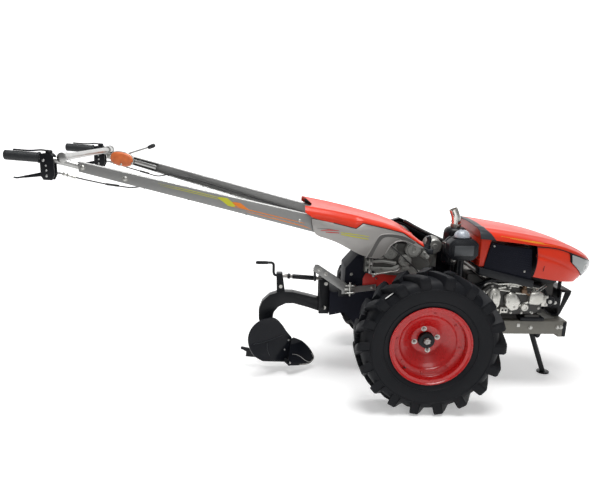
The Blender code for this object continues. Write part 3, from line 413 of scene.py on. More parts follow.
def tyre_carcass():
    wall = [(y, r) for y, r in SHOULDER]
    wall[5:5] = [(0.0765, 0.261), (0.0792, 0.26), (0.0792, 0.257), (0.0775, 0.256)]
    wall[-1:-1] = [(0.0705, 0.2035), (0.0722, 0.2025), (0.072, 0.2), (0.069, 0.1985)]
    wall += [(0.062, 0.1815), (0.06, 0.179), (0.06, 0.1565), (0.05, 0.1565)]
    profile = wall + [(-y, r) for y, r in wall[::-1]]
    return turned(profile[:-1], (0, WHEEL_Y, WHEEL_Z), (0, 1, 0), 120, closed=True)


# %% Tread bars
BARS = 18
BAR_SLICES = 12
FOLD = 0.8  # how far along a bar it folds over the shoulder
SWEEP, CURVE = 0.235, 0.86  # how far round a bar runs, and how it bends on the way


def tread_bar(side):
    """One bar in the tyre's own place, from just past the middle out over the shoulder."""
    bm = bmesh.new()
    bmesh.ops.create_cube(bm, size=1.0)
    long_edges = [e for e in bm.edges if abs(e.verts[0].co.x - e.verts[1].co.x) > 0.5]
    bmesh.ops.subdivide_edges(bm, edges=long_edges, cuts=BAR_SLICES - 1)
    top = [e for e in bm.edges
           if all(v.co.z > 0.4 for v in e.verts) and abs(e.verts[0].co.y - e.verts[1].co.y) < 0.1
           and abs(e.verts[0].co.y) > 0.4]
    bmesh.ops.bevel(bm, geom=top, offset=0.1, segments=2, profile=0.5, affect="EDGES",
                    material=-1)
    for v in bm.verts:
        along, across, up = v.co.x + 0.5, v.co.y, v.co.z + 0.5
        y = side * (-0.006 + 0.0885 * min(along / FOLD, 1.0))
        lap = max(0.0, (along - FOLD) / 0.2)
        sweep = SWEEP * along ** CURVE if along < FOLD else SWEEP * FOLD ** CURVE + 0.012 * lap
        width = (0.03 + 0.012 * along - 0.01 * lap) * (1.0 if up > 0.5 else 1.28)
        spread = across * width / BAR_TOP * (1.15 if abs(y) < 0.05 else 1.0)
        edge_y = min(abs(y), 0.0815)
        base = crown_radius(edge_y)
        top_r = BAR_TOP - 0.0015 * (edge_y / 0.08) ** 2 - 0.004 * max(0.0, (edge_y - 0.07) / 0.012)
        if lap > 0:
            base = 0.283 - 0.04 * lap
            top_r = 0.314 - 0.052 * lap ** 1.2
            outward = 0.0822 - 0.0055 * lap
            y = side * (outward if up > 0.5 else 0.0735)
        r = (base - 0.006) + (top_r - (base - 0.006)) * up
        turn = sweep + spread
        v.co = Vector((r * math.sin(turn), y, r * math.cos(turn)))
    bmesh.ops.recalc_face_normals(bm, faces=bm.faces)
    return bm


def crown_radius(y):
    """The carcass's radius at a distance from the middle."""
    for (y0, r0), (y1, r1) in zip(SHOULDER, SHOULDER[1:]):
        if y0 <= y <= y1:
            return r0 + (r1 - r0) * (y - y0) / (y1 - y0)
    return 0.262


def ring_of(shape, count, start=0.0):
    """Copies of one shape turned about the Y axis."""
    mesh = bpy.data.meshes.new("step")
    shape.to_mesh(mesh)
    shape.free()
    out = bmesh.new()
    for i in range(count):
        before = len(out.verts)
        out.from_mesh(mesh)
        out.verts.ensure_lookup_table()
        turn = Matrix.Rotation(start + 2 * math.pi * i / count, 3, "Y")
        bmesh.ops.rotate(out, cent=(0, 0, 0), matrix=turn, verts=out.verts[before:])
    bpy.data.meshes.remove(mesh)
    return out


def tread():
    out = joined(ring_of(tread_bar(1), BARS), ring_of(tread_bar(-1), BARS, math.pi / BARS))
    bmesh.ops.translate(out, vec=(0, WHEEL_Y, WHEEL_Z), verts=out.verts)
    return out


for side, flip in (("left", False), ("right", True)):
    carcass, bars = tyre_carcass(), tread()
    if flip:
        carcass, bars = mirror_y(carcass), mirror_y(bars)
    put("tyre_body_" + side, joined(carcass, bars), rubber, "wheel_" + side,
        ["tyre_" + side], smooth=40)
sticker = block(-0.02, 0.02, -0.0075, 0.0075, -0.0006, 0.0008, 0.0003)
bmesh.ops.rotate(sticker, cent=(0, 0, 0), matrix=Matrix.Rotation(-0.12, 3, "X"),
                 verts=sticker.verts)
bmesh.ops.translate(sticker, vec=(0, -(WHEEL_Y + 0.052), 0.2935), verts=sticker.verts)
bmesh.ops.rotate(sticker, cent=(0, 0, 0), matrix=Matrix.Rotation(-0.7, 3, "Y"), verts=sticker.verts)
bmesh.ops.translate(sticker, vec=(0, 0, WHEEL_Z), verts=sticker.verts)
put("tyre_label", sticker, white_label, "wheel_right")
print("tyre bars", 2 * BARS, "each wheel")

# %% [markdown]
# Rims. The wheel is a pressed steel disc welded into a rolled rim: a deep lip, a flat ring
# with bolts, then a dish that sinks to the hub. It is one profile spun round the axle, with
# extra points at each bend so that the paint's highlight rolls over it.

# %% Wheel rim and disc
FACE = -0.027  # the disc's outer face at the hub, from the wheel's middle


def rounded_profile(points, radius=0.003, steps=3):
    """The profile with short curves at its corners."""
    flat = eased([Vector((a, r, 0)) for a, r in points], radius, steps)
    return [(p.x, p.y) for p in flat]


def rim_shape():
    outside = rounded_profile([
        (0.0603, 0.1562), (0.0603, 0.1765), (0.065, 0.178), (0.0668, 0.1765), (0.0655, 0.1735),
        (0.06, 0.1695), (0.048, 0.164), (0.035, 0.159), (0.025, 0.153), (0.021, 0.146),
        (0.0185, 0.127), (0.01, 0.121),
        (0.002, 0.105), (FACE + 0.01, 0.076), (FACE + 0.001, 0.064), (FACE, 0.0362),
    ], 0.004, 3)
    inside = rounded_profile([
        (FACE - 0.005, 0.0362), (FACE - 0.005, 0.066), (FACE + 0.004, 0.079), (-0.004, 0.107),
        (0.005, 0.124), (0.013, 0.15), (-0.064, 0.1545), (-0.0662, 0.17),
        (-0.0655, 0.1775), (-0.0603, 0.1765), (-0.0603, 0.156), (0.0, 0.153),
    ], 0.002, 2)
    return turned(outside + inside, (0, WHEEL_Y, WHEEL_Z), (0, 1, 0), 112, closed=True)


def around(radius, count, start, level):
    """Points on a circle about the axle, at a distance out from the wheel's middle."""
    return [Vector((radius * math.sin(start + 2 * math.pi * i / count), WHEEL_Y + level,
                    WHEEL_Z + radius * math.cos(start + 2 * math.pi * i / count)))
            for i in range(count)]


def rim_bolts():
    heads = [hexagon(p, (0, 1, 0), 0.0095, 0.005, turn=0.3 * i, washer=0.0075)
             for i, p in enumerate(around(0.137, 8, 0.15, 0.0182))]
    return joined(*heads)


def hub_bolts():
    out = []
    for i, p in enumerate(around(0.051, 4, -0.22, FACE)):
        out.append(hexagon(p, (0, 1, 0), 0.0145, 0.0085, turn=0.4 * i, washer=0.012))
        out.append(turned([(0.004, 0), (0.004, 0.0042), (0.014, 0.0042), (0.015, 0.0034),
                           (0.015, 0)], p, (0, 1, 0), 14))
    return joined(*out)


def hub_cap():
    end = FACE + 0.034
    profile = rounded_profile([(-0.127, 0), (-0.127, 0.0222), (-0.0665, 0.0222), (-0.0665, 0.0395),
                               (FACE - 0.0155, 0.0395), (FACE - 0.0155, 0.0655),
                               (FACE - 0.0054, 0.0655), (FACE - 0.0054, 0.0353),
                               (FACE + 0.0215, 0.0345), (FACE + 0.0215, 0.019),
                               (end - 0.01, 0.0185), (end - 0.01, 0)], 0.0018, 2)
    return turned(profile, (0, WHEEL_Y, WHEEL_Z), (0, 1, 0), 48)


def hub_end():
    """The axle's end: a nut with a centre mark."""
    nut = hexagon((0, WHEEL_Y + FACE + 0.021, WHEEL_Z), (0, 1, 0), 0.03, 0.0085, 0.2)
    stub = turned([(0.0, 0), (0.0, 0.0125), (0.0115, 0.0125), (0.0125, 0.0115), (0.0125, 0.0035),
                   (0.0095, 0)], (0, WHEEL_Y + FACE + 0.0205, WHEEL_Z), (0, 1, 0), 28)
    return joined(nut, stub)


def valve():
    p = around(0.15, 1, math.radians(222), 0.02)[0]
    return bar(eased([p + Vector((0, -0.012, 0)), p + Vector((0, 0.008, 0.0)),
                      p + Vector((0.004, 0.02, 0.003))], 0.004), 0.0032, 12)


for side, flip in (("left", False), ("right", True)):
    parts = [rim_shape(), rim_bolts(), hub_bolts(), hub_cap(), hub_end(), valve()]
    if flip:
        parts = [mirror_y(bm) for bm in parts]
    shape, painted, bright, cap, end, stem = parts
    body = "wheel_" + side
    put("rim_disc_" + side, joined(shape, painted), rim_red, body, ["rim_" + side])
    put("hub_nuts_" + side, bright, zinc, body)
    put("hub_cap_" + side, cap, black, body, ["hub_" + side])
    put("axle_end_" + side, end, worn, body)
    put("valve_stem_" + side, stem, cable_black, body)
print("rims dressed")

# %% [markdown]
# Bonnet. The hood is one thin pressing that narrows and drops towards the nose, with a soft
# crease between its top and its flanks. A grid is made with an operator and each of its
# points is moved onto a smooth surface drawn through cross-sections, because a pressed panel
# has no flat start to extrude from. It is then given a wall, and its edges are rounded.

# %% Rows of numbers and sheets
def straight_row(rows, u):
    """A row of numbers at u, from 0 to 1, straight from each given row to the next."""
    place = u * (len(rows) - 1)
    i = min(int(place), len(rows) - 2)
    f = place - i
    return [a + (b - a) * f for a, b in zip(rows[i], rows[i + 1])]


def through(rows, u):
    """A smooth row of numbers at u, from 0 to 1, through the given rows."""
    place = min(max(u, 0.0), 1.0) * (len(rows) - 1)
    i = min(int(place), len(rows) - 2)
    f = place - i
    p1, p2 = rows[i], rows[i + 1]
    p0 = rows[i - 1] if i else [2 * a - b for a, b in zip(p1, p2)]
    p3 = rows[i + 2] if i + 2 < len(rows) else [2 * b - a for a, b in zip(p1, p2)]
    return [0.5 * (2 * b + (c - a) * f + (2 * a - 5 * b + 4 * c - d) * f * f
                   + (3 * b - a - 3 * c + d) * f ** 3) for a, b, c, d in zip(p0, p1, p2, p3)]


def panel(surface, across, along, thickness, edge=0.001, outside=None):
    """A sheet on surface(u, v), both from 0 to 1, with a wall behind it and rounded edges.
    outside is the way that its face looks, or nothing for a shell that wraps its own middle."""
    bm = bmesh.new()
    bmesh.ops.create_grid(bm, x_segments=across, y_segments=along, size=1.0)
    for v in bm.verts:
        v.co = surface((v.co.x + 1) / 2, (v.co.y + 1) / 2)
    bmesh.ops.recalc_face_normals(bm, faces=bm.faces)
    middle = sum((v.co for v in bm.verts), Vector()) / len(bm.verts)
    facing = sum(f.normal.dot(outside or (f.calc_center_median() - middle)) * f.calc_area()
                 for f in bm.faces)
    if facing < 0:
        bmesh.ops.reverse_faces(bm, faces=bm.faces)
    if thickness:
        bmesh.ops.solidify(bm, geom=bm.faces[:], thickness=thickness)
        if edge:
            bevelled(bm, edge, 2, 55)
    bmesh.ops.recalc_face_normals(bm, faces=bm.faces)
    return bm


def normal_of(surface, u, v):
    """The surface's unit normal, on the side that faces up or out."""
    h = 0.004
    a = surface(min(u + h, 1), v) - surface(max(u - h, 0), v)
    b = surface(u, min(v + h, 1)) - surface(u, max(v - h, 0))
    return a.cross(b).normalized()


# %% Bonnet surface
BONNET = [  # (X, top, crease Y, crease Z, edge Y, edge Z)
    (0.255, 0.794, 0.195, 0.778, 0.222, 0.744), (0.32, 0.787, 0.195, 0.77, 0.222, 0.737),
    (0.44, 0.769, 0.19, 0.75, 0.218, 0.722), (0.517, 0.754, 0.184, 0.736, 0.212, 0.711),
    (0.61, 0.731, 0.172, 0.716, 0.199, 0.697), (0.69, 0.704, 0.15, 0.691, 0.175, 0.67),
    (0.77, 0.664, 0.112, 0.655, 0.13, 0.638), (0.822, 0.632, 0.066, 0.627, 0.076, 0.615),
    (0.852, 0.609, 0.026, 0.606, 0.03, 0.598),
]


def bonnet_at(u, s):
    """A point of the hood: u from the rear to the nose, s from -1 on the right to 1 on the left."""
    x, top, cy, cz, ey, ez = through(BONNET, u)
    m = abs(s)
    ridge = 0.004 * math.exp(-((m - 0.44) / 0.05) ** 2) * min(1.0, (1 - u) * 4)
    rows = [(0.0, top), (cy * 0.33, top - (top - cz) * 0.1), (cy * 0.66, top - (top - cz) * 0.38),
            (cy * 0.9, cz + (top - cz) * 0.3), (cy + (ey - cy) * 0.22, cz - 0.002),
            (ey - (ey - cy) * 0.2, (cz + ez) / 2 + 0.002), (ey, ez)]
    y, z = through(rows, m)
    return Vector((x, y if s >= 0 else -y, z + ridge))


def hood(u, v):
    return bonnet_at(u, 1 - 2 * v)


bonnet_shell = panel(hood, 72, 56, 0.0035)
put("bonnet_hood", bonnet_shell, red, "bonnet", ["bonnet"], smooth=50)


# %% Dark hoop on the bonnet's rear edge
def hoop(u, v):
    """A band that laps the hood's rear edge and widens down its flanks."""
    s = 1 - 2 * v
    reach = 0.062 + 0.066 * max(0.0, (abs(s) - 0.45) / 0.55) ** 1.2
    base = bonnet_at(u * reach, s)
    away = Vector((0, math.copysign(1.0, s) * min(1.0, abs(s) ** 3 * 1.2), 1 - abs(s) ** 4 * 0.8))
    lip = Vector((-0.003 * (1 - u), 0, 0))
    return base + away.normalized() * (0.0022 + 0.0012 * math.sin(math.pi * u)) + lip


put("bonnet_rear_hoop", panel(hoop, 14, 48, 0.005, 0.0012), slate, "bonnet",
    smooth=50)

# %% [markdown]
# Nose cowl and lamps. Below the hood, a second pressing wraps from flank to flank round the
# nose. Each lamp is a clear cover over a bright bowl, framed in black, cut to the corner's
# outline and set a little proud of the cowl.

# %% Cowl surface
COWL = [  # edge above (X, Y, Z) and below (X, Y, Z), from the flank to the nose
    (0.51, 0.212, 0.7112, 0.51, 0.204, 0.564), (0.61, 0.199, 0.6964, 0.608, 0.19, 0.545),
    (0.69, 0.175, 0.6694, 0.676, 0.17, 0.533), (0.77, 0.134, 0.6374, 0.738, 0.126, 0.522),
    (0.822, 0.076, 0.6144, 0.778, 0.06, 0.514), (0.852, 0.03, 0.5974, 0.798, 0.022, 0.51),
]


def cowl_out(s):
    """The level direction that the cowl faces at s."""
    return Vector((0.35 + 0.65 * s, 1.0 - 0.8 * s, 0)).normalized()


def cowl_at(s, t):
    """A point of the cowl's left half: s from the flank to the nose, t from above to below."""
    row = through(COWL, s)
    above, below = Vector(row[:3]), Vector(row[3:])
    fade = math.sqrt(max(0.0, 1 - s / 0.56))  # the crease ends short of the hinge rod
    arch = -0.0045 * fade * math.exp(-((t - 0.3 - 0.55 * s) / 0.035) ** 2)
    return above.lerp(below, t) + cowl_out(s) * (0.014 * math.sin(math.pi * t) + arch)


NOSE_HALF = 0.0566  # how much of each half is the flat between the two flanks


def cowl_all(u, v):
    """The whole cowl: u from the left flank round the nose to the right flank."""
    side = 1 - 2 * u
    s = min(1.0, (1 - abs(side)) * 1.06)
    p = cowl_at(s, v)
    if abs(side) < NOSE_HALF:
        p = cowl_at(1.0, v)
        p.y *= abs(side) / NOSE_HALF
        p.x += 0.003 * (1 - abs(side) / NOSE_HALF)
    return Vector((p.x, math.copysign(p.y, side) if side else 0.0, p.z))


cowl = panel(cowl_all, 120, 28, 0.0032)
put("nose_cowl_panel", cowl, red, "bonnet", smooth=50)
ears = []
for ear_y in (0.136, -0.136):
    ears.append(plate([(0.69, 0.582), (0.73, 0.574), (0.734, 0.548), (0.7, 0.546),
                       (0.652, 0.556), (0.652, 0.582)], ear_y - 0.003, ear_y + 0.003, 0.0012))
    ears.append(block(0.655, 0.668, min(ear_y * 0.98, ear_y * 1.29),
                      max(ear_y * 0.98, ear_y * 1.29),
                      0.557, 0.563, 0.001))
put("bonnet_hinge_ears", joined(*ears), black, "bonnet", ["nose_cowl"])


# %% Lamps
LAMP = [  # (s along the cowl, t at the top, t at the bottom) of the lamp's outline
    (0.365, 0.06, 0.3), (0.46, 0.05, 0.44), (0.58, 0.05, 0.62), (0.7, 0.05, 0.74),
    (0.82, 0.05, 0.7), (0.91, 0.05, 0.46), (0.96, 0.06, 0.22),
]


def lamp_cover(height, inset):
    """The lamp's outline on the cowl, raised and drawn in from its edge."""
    def surface(u, v):
        s, t0, t1 = through(LAMP, inset * 0.5 + u * (1 - inset))
        t = t0 + inset * 0.12 + (t1 - t0 - inset * 0.24) * v
        p = cowl_at(s, t)
        a = cowl_at(min(s + 0.01, 1), t) - cowl_at(s - 0.01, t)
        b = cowl_at(s, t + 0.01) - cowl_at(s, t - 0.01)
        n = b.cross(a).normalized()
        n = n if n.y > 0 or n.x > 0 else -n
        return p + n * (height + 0.0015 * math.sin(math.pi * u) * math.sin(math.pi * v))
    return surface


lamp_way = Vector((0.5, 1, 0))
frames = panel(lamp_cover(0.003, 0.0), 40, 16, 0.0022, 0.0008, lamp_way)
bowls = panel(lamp_cover(0.0046, 0.1), 36, 14, 0.0012, 0.0, lamp_way)
lenses = panel(lamp_cover(0.0062, 0.08), 36, 14, 0.0012, 0.0005, lamp_way)
reflector = []
for place, r in ((0.38, 0.017), (0.66, 0.015)):
    p = lamp_cover(0.0046, 0.1)(place, 0.5)
    way = (lamp_cover(0.01, 0.1)(place, 0.5) - p).normalized()
    reflector.append(turned([(0.0, 0.004), (-0.0005, r), (0.0008, r), (0.0012, r - 0.0015),
                             (0.0004, 0.004)], p, way, 28, closed=True))
for side, flip in (("left", False), ("right", True)):
    made = [bm.copy() for bm in (frames, bowls, lenses)] + [joined(*[r.copy() for r in reflector])]
    if flip:
        made = [mirror_y(bm) for bm in made]
    put("lamp_frame_" + side, made[0], black, "bonnet", smooth=50)
    put("lamp_bowl_" + side, joined(made[1], made[3]), steel, "bonnet", smooth=50)
    put("lamp_lens_" + side, made[2], lens_clear, "bonnet", ["headlight_" + side],
        smooth=50)


def cowl_line(s_t, radius, height):
    """A thin bar along the cowl, at a few places given as (s, t)."""
    points = []
    for i in range(25):
        s, t = straight_row(s_t, i / 24)
        points.append(cowl_at(s, t) + cowl_out(s) * height)
    return bar(points, radius, 8)


gap_lines = joined(cowl_line([(0.0, 0.985), (0.0, 0.03), (0.1, 0.012), (0.4, 0.012), (0.97, 0.012)],
                             0.0021, 0.0006))
put("cowl_gap_line", both(gap_lines), black, "bonnet", smooth=60)


def nose_trim(u, v):
    """A black corner under the lamp, at the nose's lower end."""
    s = 0.7 + 0.3 * u
    t0 = through([(0.8,), (0.79,), (0.76,), (0.6,), (0.3,), (0.22,)], u)[0]
    t = t0 + (0.995 - t0) * min(1.0, 0.45 + u) * v
    return cowl_at(s, t) + cowl_out(s) * 0.0012


put("nose_trim", both(panel(nose_trim, 14, 10, 0.001, 0.0)), black, "bonnet",
    smooth=50)


def lamp_brow(u, v):
    """A black strip over the lamp, under the hood's edge."""
    s = 0.345 + 0.62 * u
    return cowl_at(s, 0.004 + 0.05 * v) + cowl_out(s) * 0.0042


put("lamp_brows", both(panel(lamp_brow, 26, 3, 0.001, 0.0)), black, "bonnet",
    smooth=50)
print("bonnet and lamps made")

# %% [markdown]
# Stripes. A vinyl stripe is a strip of film a fraction of a millimetre thick that follows the
# panel under it, so each is a small grid laid on the same surface and raised a little.

# %% Stripes on the bonnet and cowl
FILM = 0.0003  # a vinyl stripe's own thickness


def film(surface):
    """A thin strip raised a little from surface(u, v)."""
    return panel(lambda u, v: surface(u, v) + outward(surface, u, v) * 0.0004, 24, 3, FILM, 0.0)


def outward(surface, u, v):
    """The surface's normal on the side away from the middle plane."""
    n = normal_of(surface, u, v)
    return n if n.y * surface(u, v).y >= 0 else -n


def bonnet_u(x):
    """How far along the hood a distance X lies."""
    low, high = 0.0, 1.0
    for _ in range(30):
        mid = (low + high) / 2
        low, high = (mid, high) if through(BONNET, mid)[0] < x else (low, mid)
    return low


def hood_strip(points, side):
    """points are (X, s above, s below) on the hood's flank."""
    def surface(u, v):
        x, s0, s1 = through(points, u)
        return bonnet_at(bonnet_u(x), side * (s0 + (s1 - s0) * v))
    return surface


for name, side in (("left", 1), ("right", -1)):
    sweep = film(hood_strip([(0.385, 0.83, 0.845), (0.44, 0.835, 0.875), (0.5, 0.835, 0.9),
                             (0.56, 0.87, 0.895), (0.62, 0.893, 0.9)], side))
    flash = film(hood_strip([(0.345, 0.8, 0.806), (0.44, 0.812, 0.822), (0.52, 0.812, 0.832),
                             (0.545, 0.822, 0.83)], side))
    put("bonnet_stripe_amber_" + name, sweep, amber, "bonnet")
    put("bonnet_stripe_lime_" + name, flash, lime, "bonnet")

slots = []
for side in (1, -1):
    slot_cut = block(-0.0014, 0.0014, -0.0006, 0.0006, -0.02, 0.02, 0.0005)
    p = cowl_at(0.075, 0.62)
    bmesh.ops.rotate(slot_cut, cent=(0, 0, 0), matrix=Matrix.Rotation(0.1, 3, "Y"),
                     verts=slot_cut.verts)
    bmesh.ops.translate(slot_cut, vec=(p.x, side * (p.y + 0.0002), p.z), verts=slot_cut.verts)
    slots.append(slot_cut)
put("cowl_slots", joined(*slots), black, "bonnet")

# %% [markdown]
# Behind and under the bonnet. The red rear panel, the radiator, the tray and the tank keep
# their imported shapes, with rounded edges. The rear panel gets a fill up to just under the
# hood, and the black side screen has rows of fine pressed ribs and two screws.

# %% Rear panel, screen, radiator, tray and tank
PANEL_TOP = 0.742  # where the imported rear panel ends
rear = softened("rear_panel", 0.0015)
side_return = plate([(0.2655, 0.612), (0.2855, 0.612), (0.3105, 0.742), (0.2655, 0.748)],
                    -0.201, -0.196, 0.0015)


def rear_fill(u, v):
    """The rear panel's upper part, up to just under the hood."""
    p = bonnet_at(0.02, 0.94 * (1 - 2 * u))
    rise = max(0.003, p.z - 0.006 - PANEL_TOP)
    return Vector((0.2665, p.y * 0.985, PANEL_TOP + rise * v))


crown_fill = panel(rear_fill, 40, 4, 0.004, 0.0008)
lip = block(0.26, 0.265, -0.196, 0.106, 0.64, 0.644, 0.001)
put("rear_panel_shell", joined(rear, side_return, lip, crown_fill), red, "chassis",
    ["rear_panel"])

screen_frame = softened("radiator_screen", 0.002)
ribs = [plate([(0.295 + 0.0004 * i, 0.622 + 0.0095 * i), (0.494 - 0.0006 * i, 0.5745 + 0.0108 * i),
               (0.494 - 0.0006 * i, 0.576 + 0.0108 * i), (0.295 + 0.0004 * i, 0.6235 + 0.0095 * i)],
              -0.2078, -0.2065, 0.0003) for i in range(1, 10)]
put("radiator_screen_panel", joined(screen_frame, *ribs), navy, "chassis",
    ["radiator_screen"])
screws = [dome_bolt((x, -0.207, z), (0, -1, 0), 0.005, 0.003)
          for x, z in ((0.47, 0.59), (0.322, 0.708))]
put("screen_screws", joined(*screws), zinc, "chassis")

put("bonnet_tray_pan", softened("bonnet_tray", 0.003), plastic, "chassis",
    ["bonnet_tray"])
fins = [block(0.2985, 0.2999, -0.183 + 0.01 * i, -0.18 + 0.01 * i, 0.622, 0.706)
        for i in range(24)]
put("radiator_core", joined(softened("radiator", 0.002), *fins), block_grey, "chassis",
    ["radiator"])
tank_cap = turned([(0, 0), (0, 0.026), (0.01, 0.026), (0.014, 0.022), (0.014, 0)],
                  (0.6, 0.0, 0.67), (0.25, 0, 1), 28)
put("tank_body", joined(softened("fuel_tank", 0.006, 3), tank_cap), black, "chassis",
    ["fuel_tank"])
print("bonnet bay made")

# %% [markdown]
# Engine. A flat single-cylinder engine hides under the bonnet, and its right side shows
# between the tray and the rail. The cast gear cover gets a raised rim, ribs, round bosses and
# a row of bolts. Round it are the pipes, a filler with a cap, and the injection pump.

# %% Gear cover and its bolts
COVER_EDGE = [(0.33, 0.38), (0.545, 0.38), (0.575, 0.405), (0.575, 0.47), (0.54, 0.5),
              (0.42, 0.512), (0.33, 0.522), (0.29, 0.49), (0.29, 0.41)]


def shrunk(outline, by, cx=0.432, cz=0.448):
    """The outline drawn towards a middle, which is the gear cover's unless another is given."""
    return [(x + (cx - x) * by, z + (cz - z) * by) for x, z in outline]


face = -0.186  # the cover's outer face
# The cover's base and rim take the near-black casting finish as painted shade, dark between the
# bright castings on the aluminium cover.
rim_plate = plate(COVER_EDGE, face - 0.0045, face + 0.001, 0.0012)
put("gear_cover_shaded_base", joined(softened("gear_cover", 0.003, 3), rim_plate), block_grey, "chassis",
    ["gear_cover"], smooth=42)
A_EDGE = [(0.322, 0.412), (0.352, 0.404), (0.372, 0.424), (0.376, 0.47), (0.366, 0.506),
          (0.336, 0.514), (0.318, 0.488)]
B_EDGE = [(0.394, 0.468), (0.42, 0.492), (0.446, 0.484), (0.472, 0.444), (0.462, 0.406),
          (0.43, 0.398), (0.4, 0.426)]
cover_shapes = [
    plate(A_EDGE, face - 0.03, face - 0.002, 0.01),
    plate(shrunk(A_EDGE, 0.45, 0.348, 0.462), face - 0.035, face - 0.025, 0.004),
    plate(B_EDGE, face - 0.024, face - 0.002, 0.008),
    plate([(0.508, 0.432), (0.56, 0.426), (0.576, 0.446), (0.574, 0.486), (0.548, 0.496),
           (0.51, 0.488)], face - 0.022, -0.152, 0.0095),
    plate([(0.38, 0.39), (0.416, 0.39), (0.416, 0.416), (0.38, 0.416)], face - 0.02,
          face - 0.002, 0.003),
    turned([(-0.004, 0), (-0.004, 0.02), (0.014, 0.019), (0.02, 0.015), (0.02, 0.009),
            (0.016, 0.008), (0.016, 0)], (0.492, face - 0.003, 0.416), (0, -1, 0), 30),
    turned([(-0.004, 0), (-0.004, 0.013), (0.014, 0.012), (0.018, 0.009), (0.018, 0)],
           (0.304, face - 0.003, 0.436), (0, -1, 0), 26),
]
for (xa, za), (xb, zb) in (((0.372, 0.5), (0.42, 0.492)), ((0.446, 0.484), (0.512, 0.48)),
                           ((0.47, 0.42), (0.512, 0.44)), ((0.3, 0.47), (0.33, 0.5)),
                           ((0.352, 0.404), (0.382, 0.4)), ((0.366, 0.506), (0.4, 0.512))):
    cover_shapes.append(bar([(xa, face - 0.007, za), (xb, face - 0.007, zb)], 0.0058, 10))
put("gear_cover_castings", joined(*cover_shapes), cast, "chassis", smooth=42)
holes = [turned([(0, 0), (0, 0.005), (0.0012, 0.0055), (0.0012, 0)], (x, face - 0.0198, 0.403),
                (0, -1, 0), 18) for x in (0.391, 0.406)]
put("gear_cover_holes", joined(*holes), black, "chassis")
cover_bolts = []
count = len(COVER_EDGE)
ring = shrunk(COVER_EDGE, 0.085)
for i in range(count):
    a, b = Vector(ring[i]), Vector(ring[(i + 1) % count])
    steps = max(1, round((b - a).length / 0.048))
    for k in range(steps):
        p = a.lerp(b, k / steps)
        cover_bolts.append(hexagon((p.x, face - 0.004, p.y), (0, -1, 0), 0.008, 0.005, 0.4 * i,
                                   0.0058))
for x, z, deep in ((0.348, 0.462, 0.03), (0.434, 0.444, 0.024)):
    for k in range(3):
        a = 2.1 * k + 0.5
        cover_bolts.append(hexagon((x + 0.019 * math.sin(a), face - deep + 0.0004,
                                    z + 0.03 * math.cos(a)),
                                   (0, -1, 0), 0.007, 0.0045, a))
put("gear_cover_bolts", joined(*cover_bolts), zinc, "chassis")

# %% Engine block, its pipes and fittings
put("engine_block_casting", softened("engine_block", 0.003, 2), block_grey, "chassis",
    ["engine_block"])
bright = [
    turned([(0, 0), (0, 0.03), (0.02, 0.03), (0.028, 0.024), (0.034, 0.024), (0.038, 0.012),
            (0.038, 0)], (0.572, -0.15, 0.44), (0, -1, 0), 30),
    block(0.548, 0.612, -0.178, -0.148, 0.412, 0.468, 0.006),
    block(0.3, 0.366, -0.172, -0.15, 0.506, 0.53, 0.005),
    block(0.408, 0.47, -0.188, -0.15, 0.502, 0.526, 0.006),
    bar(eased([(0.33, -0.16, 0.536), (0.36, -0.178, 0.52), (0.43, -0.192, 0.53),
               (0.5, -0.186, 0.512), (0.56, -0.17, 0.5)], 0.02), 0.0065, 12),
    turned([(0, 0), (0, 0.013), (0.02, 0.013), (0.02, 0.017), (0.028, 0.017), (0.03, 0)],
           (0.44, -0.172, 0.525), (0, -0.25, 1), 20),
]
put("engine_castings_bright", joined(*bright), cast, "chassis", smooth=40)
dark = [
    bar(eased([(0.256, -0.15, 0.5), (0.285, -0.176, 0.52), (0.33, -0.186, 0.545),
               (0.42, -0.186, 0.54), (0.52, -0.18, 0.52), (0.575, -0.165, 0.505)], 0.03),
        0.0085, 14),
    bar(eased([(0.27, -0.15, 0.46), (0.282, -0.186, 0.49), (0.3, -0.196, 0.535),
               (0.33, -0.196, 0.548)], 0.02), 0.005, 12),
    bar(eased([(0.59, -0.15, 0.5), (0.6, -0.17, 0.475), (0.608, -0.178, 0.43),
               (0.6, -0.15, 0.395)], 0.02), 0.006, 12),
    turned([(0, 0), (0, 0.024), (0.004, 0.027), (0.02, 0.027), (0.024, 0.024), (0.024, 0.015),
            (0.03, 0.014), (0.03, 0)], (0.618, -0.15, 0.437), (0, -1, 0), 32),
    block(0.5, 0.556, -0.186, -0.15, 0.38, 0.4, 0.004),
    block(0.48, 0.59, -0.205, -0.15, 0.352, 0.366, 0.003),
    turned([(0, 0), (0, 0.022), (0.034, 0.022), (0.04, 0.016), (0.04, 0)],
           (0.262, -0.145, 0.43), (0, -1, 0), 26),
    block(0.512, 0.58, -0.17, -0.14, 0.486, 0.506, 0.005),
]
put("engine_pipes_dark", joined(*dark), black, "chassis", smooth=40)
warm = [
    bar(eased([(0.46, -0.16, 0.51), (0.476, -0.196, 0.498), (0.5, -0.204, 0.48),
               (0.524, -0.19, 0.47)], 0.012), 0.0045, 12),
    block(0.47, 0.494, -0.21, -0.186, 0.484, 0.506, 0.004),
    turned([(0, 0), (0, 0.009), (0.026, 0.009), (0.026, 0.006), (0.034, 0.006), (0.034, 0)],
           (0.482, -0.198, 0.498), (0.2, 0, 1), 18),
]
put("engine_fittings_warm", joined(*warm), brown, "chassis", smooth=40)
small = [hexagon((x, y, z), (0, -1, 0), s, 0.005, 0.3, s * 0.8)
         for x, y, z, s in ((0.56, -0.178, 0.424, 0.009), (0.6, -0.178, 0.424, 0.009),
                            (0.56, -0.178, 0.458, 0.009), (0.6, -0.178, 0.458, 0.009),
                            (0.312, -0.172, 0.518, 0.009), (0.352, -0.172, 0.518, 0.009),
                            (0.422, -0.188, 0.514, 0.008), (0.456, -0.188, 0.514, 0.008),
                            (0.618, -0.18, 0.437, 0.011), (0.528, -0.186, 0.39, 0.008),
                            (0.262, -0.185, 0.43, 0.016))]
